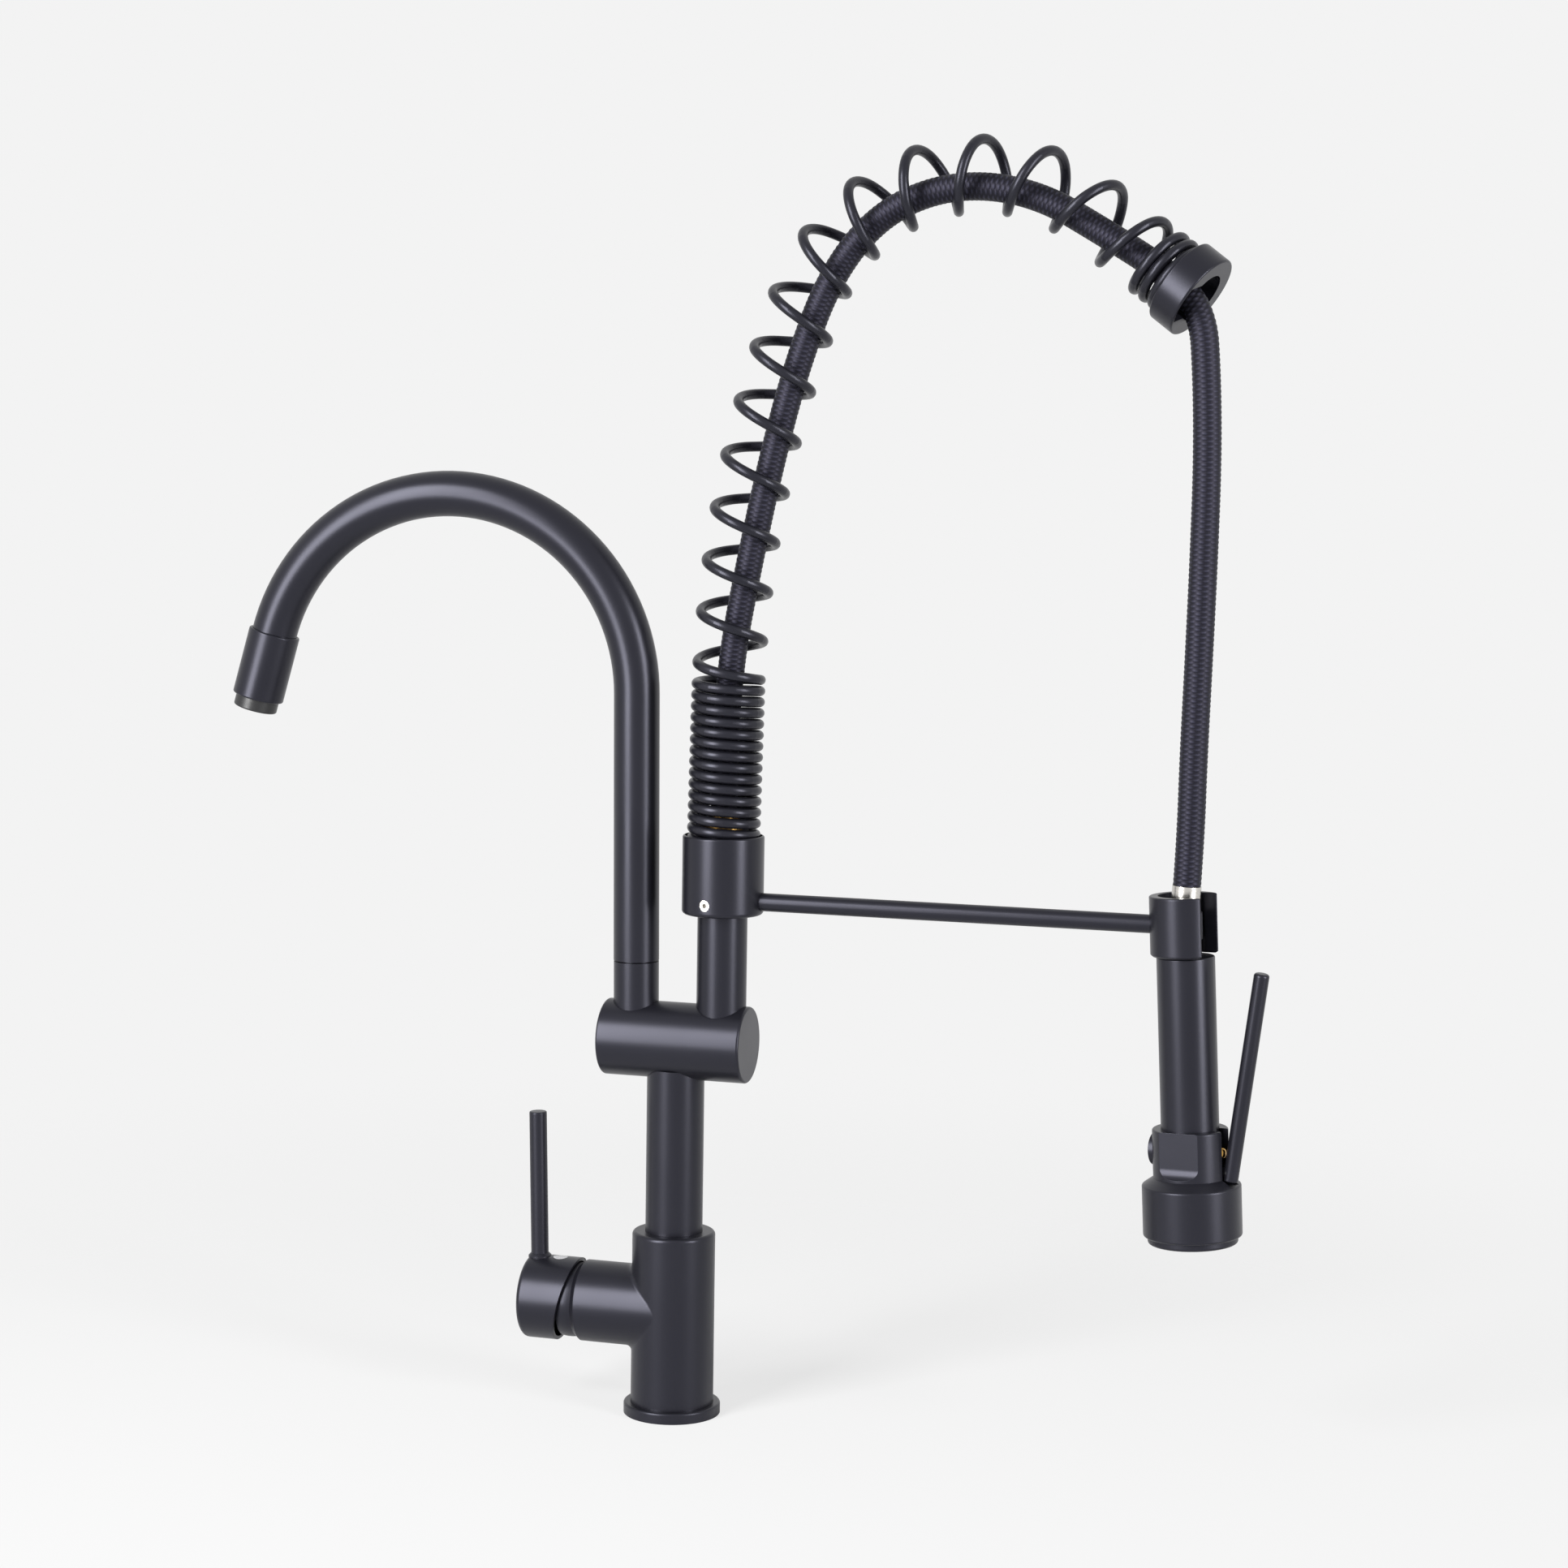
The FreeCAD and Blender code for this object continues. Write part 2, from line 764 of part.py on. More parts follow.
def make_diverter_spring():
    low = sleeve_seat_depth - sleeve_half_length + diverter_wire / 2 + loose
    poppet_face = sleeve_half_length - sleeve_lip_length - loose - poppet_length
    high = poppet_face - diverter_wire / 2 - loose

    def position(turn):
        angle = 2 * math.pi * turn
        height = low + (high - low) * turn / diverter_turns
        return V(diverter_coil_radius * math.cos(angle), diverter_coil_radius * math.sin(angle), height)

    spring, edges = coil(position, diverter_turns, diverter_wire)
    return placed(spring, diverter_frame)


# Left post and swan spout

def make_left_post():
    post = rod(UP * post_stub_foot, UP, post_stub_radius, spout_joint_z - post_stub_foot)
    post = post.fuse(rod(UP * spout_joint_z, UP, spigot_radius, spigot_top - spout_joint_z))
    post = post.cut(rod(UP * post_stub_foot, UP, spigot_bore, spigot_top))
    bore = spout_radius - spout_wall
    depth = bore - running - 2 * seal_section - hair
    for level in spigot_seal_levels:
        post = post.cut(ring_groove(UP * level, depth, bore, 2 * seal_section + loose))
    return placed(post, left_post_frame)


def make_spout_seals():
    centre_radius = spout_radius - spout_wall - running - seal_section
    rings = []
    for level in spigot_seal_levels:
        rings.append(o_ring(UP * level, UP, centre_radius, seal_section))
    return placed(Part.makeCompound(rings), left_post_frame)


def make_spout_bush():
    outer = spout_radius - spout_wall - running
    bush = tube(UP * bush_foot, UP, outer, spigot_radius + hair, bush_length)
    return placed(bush, left_post_frame)


def bend_end_frame():
    """Frame at the end of the bend, in the spout's own frame, with +Z pointing on along the tube."""
    angle = math.radians(spout_bend_angle)
    x = -spout_bend_radius * (1 - math.cos(angle))
    z = spout_rise + spout_bend_radius * math.sin(angle)
    return FreeCAD.Placement(V(x, 0, z), FreeCAD.Rotation(BACK, -spout_bend_angle))


def spout_end_frame():
    """Frame at the spout's mouth, with +Z pointing out of it."""
    return spout_frame.multiply(bend_end_frame()).multiply(
        FreeCAD.Placement(V(0, 0, aerator_socket), FreeCAD.Rotation()))


def bent_bar(radius):
    """Round bar that rises from the joint, bends over and runs straight into the aerator."""
    foot = spout_joint_z + spout_joint_gap
    upright = rod(V(0, 0, foot), UP, radius, spout_rise - foot)
    disc = Part.Face(Part.Wire([Part.Circle(V(0, 0, spout_rise), UP, radius).toShape()]))
    bend = disc.revolve(V(-spout_bend_radius, 0, spout_rise), BACK * -1, spout_bend_angle)
    tail = placed(rod(V(0, 0, 0), UP, radius, aerator_socket), bend_end_frame())
    return upright.fuse([bend, tail]).removeSplitter()


def make_swan_spout():
    spout = bent_bar(spout_radius).cut(bent_bar(spout_radius - spout_wall))
    return placed(spout, spout_frame)


def make_aerator_housing():
    start = -aerator_socket
    end = aerator_length - aerator_socket
    socket = spout_radius + running
    bore = aerator_waist_radius
    shell = turned([
        (socket, start),
        (aerator_radius, start),
        (aerator_radius, end),
        (bore + running, end),
        (bore + running, hair),
        (socket, hair),
    ])
    rims = edges_at(shell, aerator_radius, start) + edges_at(shell, aerator_radius, end)
    return placed(shell.makeFillet(aerator_edge, rims), spout_end_frame())


def make_aerator_washer():
    start = V(0, 0, aerator_length - aerator_socket - aerator_tip_length - aerator_washer_height)
    washer = tube(start, UP, aerator_waist_radius, aerator_screen_radius - 2, aerator_washer_height)
    return placed(washer, spout_end_frame())


def make_aerator_insert():
    start = aerator_length - aerator_socket - aerator_tip_length
    end = aerator_length - aerator_socket
    tip = end + aerator_tip_length
    screen = tip - aerator_screen_depth
    back = screen - aerator_screen_thickness
    insert = turned([
        (0, screen),
        (aerator_screen_radius, screen),
        (aerator_screen_radius, tip),
        (aerator_tip_radius, tip),
        (aerator_tip_radius, end + hair),
        (aerator_waist_radius, end + hair),
        (aerator_waist_radius, start),
        (aerator_screen_radius, start),
        (aerator_screen_radius, back),
        (0, back),
    ])
    rim = edges_at(insert, aerator_tip_radius, tip)
    insert = insert.makeFillet(aerator_edge, rim)
    holes = []
    row_step = aerator_hole_pitch * math.sqrt(3) / 2
    reach = int(aerator_screen_radius / row_step)
    for row in range(-reach, reach + 1):
        for column in range(-reach, reach + 1):
            x = (column + 0.5 * (row % 2)) * aerator_hole_pitch
            y = row * row_step
            if math.hypot(x, y) < aerator_screen_radius - aerator_hole_pitch / 2:
                holes.append(rod(V(x, y, back), UP, aerator_hole_radius, aerator_screen_thickness))
    return placed(insert.cut(Part.makeCompound(holes)), spout_end_frame())


# Right post, collar, arm and dock

def make_right_post():
    centre = V(right_post_x, 0, 0)
    length = right_post_top - right_post_foot
    post = tube(centre + UP * right_post_foot, UP, right_post_radius, right_post_bore, length)
    depth = right_post_radius - 2 * seal_section - hair
    width = 2 * seal_section + loose
    for level in right_seal_levels:
        post = post.cut(ring_groove(centre + UP * level, depth, right_post_radius + 1, width))
    bottom = right_post_radius - retainer_groove_depth
    groove = ring_groove(centre + UP * retainer_level, bottom, right_post_radius + 1, retainer_groove_width)
    return post.cut(groove)


def make_post_seals():
    centre_radius = right_post_radius - seal_section
    rings = []
    for level in right_seal_levels:
        rings.append(o_ring(V(right_post_x, 0, level), UP, centre_radius, seal_section))
    return Part.makeCompound(rings)


def make_post_retaining_screw():
    tip = right_post_radius - retainer_groove_depth + loose
    skin = math.sqrt(cross_radius ** 2 - (retainer_level - cross_z) ** 2)
    end = skin - retainer_sink
    screw = rod(V(right_post_x, tip, retainer_level), BACK, retainer_radius, end - tip)
    socket_start = V(right_post_x, end - retainer_socket_depth, retainer_level)
    socket = rod(socket_start, BACK, retainer_radius / 2, retainer_socket_depth)
    return screw.cut(socket)


def make_hose_nipple():
    flange = right_post_top + nipple_flange_height
    neck = flange + nipple_neck_length
    spigot = right_post_bore - running
    body = turned([
        (nipple_bore, right_post_top - nipple_spigot_length),
        (spigot, right_post_top - nipple_spigot_length),
        (spigot, right_post_top),
        (nipple_flange_radius, right_post_top),
        (nipple_flange_radius, flange),
        (nipple_neck_radius, flange),
        (nipple_neck_radius, neck),
        (nipple_bore, neck),
    ])
    body.translate(V(right_post_x, 0, 0))
    return body


def collar_screw_axis():
    """Direction from the post's axis out through the collar's set screw."""
    angle = math.radians(-90 - collar_screw_turn)
    return V(math.cos(angle), math.sin(angle), 0)


def make_arm_collar():
    centre = V(right_post_x, 0, 0)
    collar = rod(centre + UP * collar_foot, UP, collar_radius, collar_top - collar_foot)
    collar = collar.makeFillet(collar_foot_edge, edges_at(collar, collar_radius, collar_foot))
    collar = collar.makeFillet(collar_top_edge, edges_at(collar, collar_radius, collar_top))
    screw_start = centre + UP * collar_screw_level
    arm_start = V(right_post_x + collar_radius - arm_seat, 0, arm_level)
    cuts = [
        rod(centre + UP * collar_foot, UP, right_post_radius + hair, collar_top),
        rod(centre + UP * collar_cup_floor, UP, collar_cup_radius, collar_top),
        rod(screw_start, collar_screw_axis(), collar_screw_radius + hair, collar_radius + 1),
        rod(arm_start, RIGHT, arm_radius + hair, collar_radius),
    ]
    for cut in cuts:
        collar = collar.cut(cut)
    return collar


def make_collar_set_screw():
    axis = collar_screw_axis()
    start = V(right_post_x, 0, collar_screw_level) + axis * (right_post_radius + hair)
    length = collar_radius - collar_screw_sink - right_post_radius
    screw = rod(start, axis, collar_screw_radius, length)
    hexagon = []
    across = V(-axis.y, axis.x, 0)
    for i in range(7):
        angle = math.radians(60 * i)
        corner = across * math.cos(angle) + UP * math.sin(angle)
        hexagon.append(start + axis * length + corner * (collar_screw_socket / math.sqrt(3)))
    socket = Part.Face(Part.makePolygon(hexagon)).extrude(axis * -collar_screw_socket)
    return screw.cut(socket)


def make_arm_rod():
    start = right_post_x + collar_radius - arm_seat
    end = arm_axis_x - dock_rod_end
    return rod(V(start, 0, arm_level), RIGHT, arm_radius, end - start)


def make_dock_ring():
    ring = rod(V(0, 0, dock_foot), UP, dock_radius, dock_top - dock_foot)
    ring = ring.makeChamfer(dock_chamfer, edges_at(ring, dock_radius, dock_foot))
    ring = ring.makeFillet(dock_top_edge, edges_at(ring, dock_radius, dock_top))
    ring = ring.cut(rod(V(0, 0, dock_foot), UP, dock_bore, dock_top - dock_foot))
    half = dock_slot / 2
    slot = block(0, dock_radius + 1, -half, half, dock_foot - 1, dock_top + 1)
    slot.rotate(V(0, 0, 0), UP, dock_slot_turn)
    ring = placed(ring.cut(slot), dock_frame)
    rod_hole = rod(V(right_post_x, 0, arm_level), RIGHT, arm_radius + hair, arm_reach - dock_rod_end)
    return ring.cut(rod_hole)


def make_dock_cradle():
    height = cradle_top - cradle_foot
    cradle = rod(V(0, 0, cradle_foot), UP, dock_bore - hair, height)
    cradle = cradle.cut(rod(V(0, 0, cradle_foot), UP, cradle_bore, height))
    mouth = block(0, dock_bore, -cradle_bore, cradle_bore, cradle_foot - 1, cradle_top + 1)
    front = block(cradle_front, dock_bore, -dock_bore, dock_bore, cradle_foot - 1, cradle_top + 1)
    for room in (mouth, front):
        room.rotate(V(0, 0, 0), UP, dock_slot_turn)
        cradle = cradle.cut(room)
    return placed(cradle, dock_frame)


# Arch spring and end ring

def arch_legs():
    """Length, bend, local turning axis and direction of the pull for each stretch of the arch."""
    inward = (V(0, -1, 0), V(-1, 0, 0))
    forward = (V(-1, 0, 0), V(0, 1, 0))
    rise = math.radians(arch_rise_angle) * arch_rise_radius
    crown = math.radians(arch_crown_angle) * arch_crown_radius
    return [
        (arch_straight, 0.0) + inward,
        (rise, arch_rise_angle) + inward,
        (crown, arch_crown_angle) + inward,
        (arch_run_out, arch_side_turn) + forward,
    ]


def arch_frame(distance):
    """Frame of the arch's centre line: +Z along it, +X to the arch's outside, +Y to the front."""
    start_z = collar_cup_floor + wire_diameter / 2 + arch_foot_gap
    turn = FreeCAD.Rotation(BACK, arch_lean).multiply(FreeCAD.Rotation(UP, 180))
    point = V(right_post_x + arch_foot_shift, 0, start_z)
    left = distance
    for length, bend, axis, pull in arch_legs():
        if left <= 0:
            break
        run = min(left, length)
        if bend == 0:
            point = point + turn.multVec(UP * run)
        else:
            radius = length / math.radians(bend)
            angle = run / radius
            step = UP * (radius * math.sin(angle)) + pull * (radius * (1 - math.cos(angle)))
            point = point + turn.multVec(step)
            turn = turn.multiply(FreeCAD.Rotation(axis, math.degrees(angle)))
        left -= run
    if left > 0:
        point = point + turn.multVec(UP * left)
    return FreeCAD.Placement(point, turn)


def advance(turn):
    """Distance along the arch that the spring has climbed after a number of turns."""
    stretches = [
        (closed_turns, closed_pitch, closed_pitch),
        (opening_turns, closed_pitch, open_pitch_low),
        (open_turns, open_pitch_low, open_pitch_high),
        (closing_turns, open_pitch_high, end_pitch),
        (end_turns, end_pitch, end_pitch),
    ]
    total = 0.0
    left = turn
    for span, first, last in stretches:
        run = min(left, span)
        total += first * run + (last - first) * run * run / (2 * span)
        left -= run
        if left <= 0:
            return total
    return total + left * end_pitch


def spring_turns():
    return closed_turns + opening_turns + open_turns + closing_turns + end_turns


def spring_point(turn):
    """Middle of the spring's wire after a number of turns."""
    angle = math.radians(start_angle - 360 * turn)
    opened = max(0.0, (turn - closed_turns) / (spring_turns() - closed_turns))
    radius = coil_radius + coil_swell * math.sin(math.pi * min(1.0, opened))
    around = V(radius * math.cos(angle), radius * math.sin(angle), 0)
    return arch_frame(advance(turn)).multVec(around)


def least_self_gap(edges):
    """Smallest clear distance between one turn of the spring and the next, on points."""
    points = []
    for edge in edges[1:-1]:
        points += edge.discretize(7)[:-1]
    per_turn = len(points) / spring_turns()
    nearest = None
    for i, point in enumerate(points):
        first = i + int(per_turn * 0.6)
        for other in points[first:i + int(per_turn * 1.5)]:
            distance = point.distanceToPoint(other)
            if nearest is None or distance < nearest:
                nearest = distance
    return nearest - wire_diameter


def make_arch_spring():
    spring, edges = coil(spring_point, spring_turns(), wire_diameter)
    print("arch spring: turns %.1f, least gap to itself %.2f mm" % (spring_turns(), least_self_gap(edges)))
    return spring


def ring_frame():
    """Frame of the end ring: its back face takes the spring's last turn."""
    seat = advance(spring_turns()) + wire_diameter / 2 + 2 * loose
    return arch_frame(seat).multiply(FreeCAD.Placement(V(0, 0, -ring_cup_depth), FreeCAD.Rotation()))


def make_spring_end_ring():
    ring = rod(V(0, 0, 0), UP, ring_radius, ring_length)
    rims = edges_at(ring, ring_radius, 0) + edges_at(ring, ring_radius, ring_length)
    ring = ring.makeFillet(ring_edge, rims)
    ring = ring.cut(rod(V(0, 0, 0), UP, ring_bore, ring_length))
    ring = ring.cut(rod(V(0, 0, 0), UP, ring_cup_radius, ring_cup_depth))
    half = ring_slot_width / 2
    slot = block(0, ring_radius, -half, half, 0, ring_length)
    slot = slot.common(rod(V(0, 0, 0), UP, ring_cup_radius, ring_length))
    slot.rotate(V(0, 0, 0), UP, 90 + ring_slot_turn)
    return placed(ring.cut(slot), ring_frame())


# Hose

def hose_route():
    """Corner points of the hose's line, from the post's nipple over the arch to the ferrule."""
    foot = right_post_top + nipple_flange_height + nipple_neck_length
    ferrule = ferrule_frame.multVec(V(0, 0, ferrule_length))
    above = ferrule_frame.multVec(V(0, 0, ferrule_length + hose_end_run))
    return [
        V(right_post_x, 0, foot),
        V(right_post_x, 0, foot + hose_start_run),
        V(28.0, 0, 412),
        V(37.0, 0, 461),
        V(48.3, 0, 515),
        V(61.6, 0, 566),
        V(79.4, 0, 613.5),
        V(106.8, 0, 645.8),
        V(145.0, 0, 659.5),
        V(187.0, 0, 654.5),
        V(226.0, 0, 632),
        V(254.3, -3.0, 614.6),
        V(274.8, -6.3, 595.0),
        V(277.7, -5.0, 560),
        V(278.9, -3.5, 520),
        V(278.2, -2.0, 470),
        V(277.0, -1.0, 420),
        V(275.6, 0, 370),
        above,
        ferrule,
    ]


def rounded_path(corners):
    """Straight runs joined by tangent arcs, with the arcs' radii."""
    edges = []
    radii = []
    last = corners[0]
    for before, corner, after in zip(corners, corners[1:], corners[2:]):
        back = (before - corner)
        ahead = (after - corner)
        shorter = min(back.Length, ahead.Length)
        back.normalize()
        ahead.normalize()
        turn = math.pi - back.getAngle(ahead)
        cut_back = 0.45 * shorter
        radius = cut_back / math.tan(turn / 2)
        radii.append(radius)
        start = corner + back * cut_back
        end = corner + ahead * cut_back
        middle = (back + ahead).normalize()
        centre = corner + middle * (radius / math.cos(turn / 2))
        edges.append(Part.LineSegment(last, start).toShape())
        edges.append(Part.Arc(start, centre - middle * radius, end).toShape())
        last = end
    edges.append(Part.LineSegment(last, corners[-1]).toShape())
    return Part.Wire(edges), radii


def make_spray_hose():
    corners = hose_route()
    path, radii = rounded_path(corners)
    start = (corners[1] - corners[0]).normalize()
    profile = Part.Wire([Part.Circle(corners[0], start, hose_radius).toShape()])
    hose = path.makePipeShell([profile], True, False)
    print("hose: length %.1f mm, radii %s" % (path.Length, " ".join("%.0f" % r for r in radii)))
    expected = path.Length * math.pi * hose_radius ** 2
    print("hose: volume over section times length %.4f" % (hose.Volume / expected))
    return hose


# Hose end, in the dock frame

def make_hose_ferrule():
    floor = hose_nut_top - hose_nut_recess
    below = 2 * hose_nut_recess
    ferrule = tube(UP * -below, UP, ferrule_radius, ferrule_radius - ferrule_wall, ferrule_length + below)
    under = rod(V(0, 0, floor - 3 * below), UP, 2 * hose_nut_radius, 3 * below)
    return placed(ferrule, ferrule_frame).cut(placed(under, dock_frame))


def make_hose_nut():
    height = hose_nut_top - hose_nut_foot
    nut = rod(V(0, 0, hose_nut_foot), UP, hose_nut_radius, height)
    nut = nut.cut(rod(V(0, 0, hose_nut_foot), UP, neck_bore, height))
    recess = ferrule_radius + loose * 2
    nut = nut.cut(rod(V(0, 0, hose_nut_top - hose_nut_recess), UP, recess, hose_nut_recess))
    for i in range(hose_nut_flutes):
        angle = 2 * math.pi * i / hose_nut_flutes
        reach = hose_nut_radius + flute_radius / 2
        spot = V(reach * math.cos(angle), reach * math.sin(angle), hose_nut_foot + flute_start)
        nut = nut.cut(rod(spot, UP, flute_radius, height))
    return placed(nut, dock_frame)


# Spray, in the spray frame: +Z up the handle, +X towards the grip lever

def make_spray_neck():
    flange = handle_top - handle_wall
    neck = turned([
        (neck_bore, neck_top),
        (neck_radius, neck_top),
        (neck_radius, flange),
        (handle_radius - handle_wall - running, flange),
        (handle_radius - handle_wall - running, flange - neck_plug_length),
        (neck_bore, flange - neck_plug_length),
    ])
    return placed(neck, spray_frame)


def make_spray_handle():
    bore = handle_radius - handle_wall
    handle = turned([
        (neck_radius + hair, handle_top),
        (handle_radius, handle_top),
        (handle_radius, handle_foot),
        (bore, handle_foot),
        (bore, handle_top - handle_wall),
        (neck_radius + hair, handle_top - handle_wall),
    ])
    handle = handle.makeFillet(handle_edge, edges_at(handle, handle_radius, handle_top))
    return placed(handle, spray_frame)


def make_valve_body():
    body = rod(V(0, 0, valve_foot), UP, valve_radius, valve_top - valve_foot)
    body = body.makeFillet(valve_edge, edges_at(body, valve_radius, valve_top))
    run = valve_flat_run_out
    span = 2 * valve_radius
    for side in (-1, 1):
        flat = valve_flat * side
        out = (valve_flat + run) * side
        turn_y = flat + side * run * (1 - math.cos(math.pi / 4))
        turn_z = valve_flat_foot - run * math.sin(math.pi / 4)
        outline = [
            Part.LineSegment(V(-span, out, valve_top + 1), V(-span, flat, valve_top + 1)).toShape(),
            Part.LineSegment(V(-span, flat, valve_top + 1), V(-span, flat, valve_flat_foot)).toShape(),
            Part.Arc(V(-span, flat, valve_flat_foot), V(-span, turn_y, turn_z),
                     V(-span, out, valve_flat_foot - run)).toShape(),
            Part.LineSegment(V(-span, out, valve_flat_foot - run), V(-span, out, valve_top + 1)).toShape(),
        ]
        body = body.cut(Part.Face(Part.Wire(outline)).extrude(RIGHT * (2 * span)))
    stub = rod(V(0, 0, valve_stub_foot), UP, valve_stub_radius, valve_foot - valve_stub_foot)
    body = body.fuse(stub).removeSplitter()
    socket = handle_foot - valve_top
    cuts = [
        rod(V(0, 0, handle_foot), UP, handle_radius + hair, -socket + 1),
        rod(V(0, 0, valve_stub_foot), UP, valve_bore, handle_foot - valve_stub_foot + 1),
        block(slot_floor, span, -slot_half_width, slot_half_width, valve_foot - 1, valve_top + 1),
        rod(V(stem_collar_start, 0, stem_level), RIGHT, stem_radius + running, span),
        rod(V(valve_plug_seat, 0, stem_level), RIGHT, stem_chamber_radius,
            stem_collar_start + stem_collar_length + loose - valve_plug_seat),
        rod(V(-valve_plug_rim, 0, stem_level), RIGHT, valve_plug_radius + hair,
            valve_plug_rim + valve_plug_seat),
        rod(V(grip_pin_reach, -grip_pin_half_length, grip_pin_level), BACK, pin_radius + hair, span),
    ]
    for cut in cuts:
        body = body.cut(cut)
    return placed(body, spray_frame)


def make_valve_plug():
    rim = valve_plug_rim
    dome_radius = (valve_plug_radius ** 2 + valve_plug_dome ** 2) / (2 * valve_plug_dome)
    plug = rod(V(-rim, 0, stem_level), RIGHT, valve_plug_radius, rim + valve_plug_seat)
    cap = Part.makeSphere(dome_radius, V(-rim - valve_plug_dome + dome_radius, 0, stem_level))
    reach = valve_plug_radius * 2
    keep = block(-rim - reach, -rim, -reach, reach, stem_level - reach, stem_level + reach)
    plug = plug.fuse(cap.common(keep)).removeSplitter()
    return placed(plug, spray_frame)


def make_valve_stem():
    length = stem_tip - stem_collar_start
    stem = rod(V(stem_collar_start, 0, stem_level), RIGHT, stem_radius, length)
    tip = [edge for edge in stem.Edges
           if isinstance(edge.Curve, Part.Circle) and abs(edge.Curve.Center.x - stem_tip) < 0.01]
    stem = stem.makeFillet(stem_tip_edge, tip)
    collar = rod(V(stem_collar_start, 0, stem_level), RIGHT, stem_collar_radius, stem_collar_length)
    return placed(stem.fuse(collar).removeSplitter(), spray_frame)


def make_stem_spring():
    low = valve_plug_seat + stem_spring_wire / 2 + loose
    high = stem_collar_start - stem_spring_wire / 2 - loose

    def position(turn):
        angle = 2 * math.pi * turn
        x = low + (high - low) * turn / stem_spring_turns
        return V(x, stem_spring_radius * math.cos(angle), stem_level + stem_spring_radius * math.sin(angle))

    spring, edges = coil(position, stem_spring_turns, stem_spring_wire)
    return placed(spring, spray_frame)


def make_lever_pin():
    start = V(grip_pin_reach, hair - grip_pin_half_length, grip_pin_level)
    pin = rod(start, BACK, pin_radius, 2 * grip_pin_half_length)
    return placed(pin, spray_frame)


def grip_lean():
    return math.degrees(math.atan2(grip_head_reach - grip_foot_reach, grip_head_level - grip_foot_level))


def make_spray_lever():
    length = math.hypot(grip_head_reach - grip_foot_reach, grip_head_level - grip_foot_level)
    bar = rod(V(0, 0, 0), UP, grip_radius, length)
    bar = bar.makeFillet(grip_edge, edges_at(bar, grip_radius, length))
    bar = bar.makeFillet(grip_edge / 2, edges_at(bar, grip_radius, 0))
    foot = FreeCAD.Placement(V(grip_foot_reach, 0, grip_foot_level), FreeCAD.Rotation(BACK, grip_lean()))
    bar = placed(bar, foot)
    width = 2 * tongue_half_width
    eye_start = V(grip_pin_reach, -tongue_half_width, grip_pin_level)
    eye = rod(eye_start, BACK, tongue_eye_radius, width)
    web = block(grip_pin_reach, grip_foot_reach, -tongue_half_width, tongue_half_width,
                grip_pin_level - tongue_eye_radius, grip_pin_level + tongue_eye_radius)
    lever = bar.fuse([eye, web]).removeSplitter()
    lever = lever.cut(rod(eye_start, BACK, pin_radius + running, width))
    return placed(lever, spray_frame)


def make_spray_head():
    inner = head_radius - head_wall
    roof = head_shoulder - head_roof
    collar = valve_stub_radius + hair
    head = turned([
        (collar, valve_foot),
        (valve_radius, valve_foot),
        (head_radius, head_shoulder),
        (head_radius, head_foot),
        (inner, head_foot),
        (inner, roof),
        (collar, roof),
    ])
    head = head.makeFillet(head_edge, edges_at(head, head_radius, head_shoulder))
    head = head.makeFillet(head_edge, edges_at(head, head_radius, head_foot))
    clear = tongue_eye_radius + loose
    notch = block(grip_foot_reach - 2 * grip_radius, grip_foot_reach + grip_radius, -slot_half_width,
                  slot_half_width, grip_foot_level - grip_notch_drop, valve_foot + 1)
    eye_room = block(grip_pin_reach - clear, grip_foot_reach, -tongue_half_width - loose,
                     tongue_half_width + loose, grip_pin_level - clear, valve_foot + 1)
    return placed(head.cut(notch).cut(eye_room), spray_frame)


def nozzle_holes(radius, level, depth):
    """All the holes of the water's pattern, from one height upwards."""
    holes = []
    for reach, count in zip(nozzle_ring_radii, nozzle_ring_counts):
        for i in range(count):
            angle = 2 * math.pi * i / count
            spot = V(reach * math.cos(angle), reach * math.sin(angle), level)
            holes.append(rod(spot, UP, radius, depth))
    return Part.makeCompound(holes)


def make_flow_disc():
    inner = head_radius - head_wall - running
    foot = disc_top - disc_height
    disc = rod(V(0, 0, foot), UP, inner, disc_height)
    return placed(disc.cut(nozzle_holes(nozzle_radius * 2, foot, disc_height)), spray_frame)


def make_spray_face():
    inner = head_radius - head_wall - running
    face = turned([
        (0, face_foot + face_wall),
        (inner - face_wall, face_foot + face_wall),
        (inner - face_wall, face_top),
        (inner, face_top),
        (inner, head_foot + hair),
        (face_radius, head_foot - hair),
        (face_radius, face_foot),
        (0, face_foot),
    ])
    face = face.makeFillet(face_edge, edges_at(face, face_radius, face_foot))
    return placed(face.cut(nozzle_holes(nozzle_radius, face_foot, face_wall)), spray_frame)


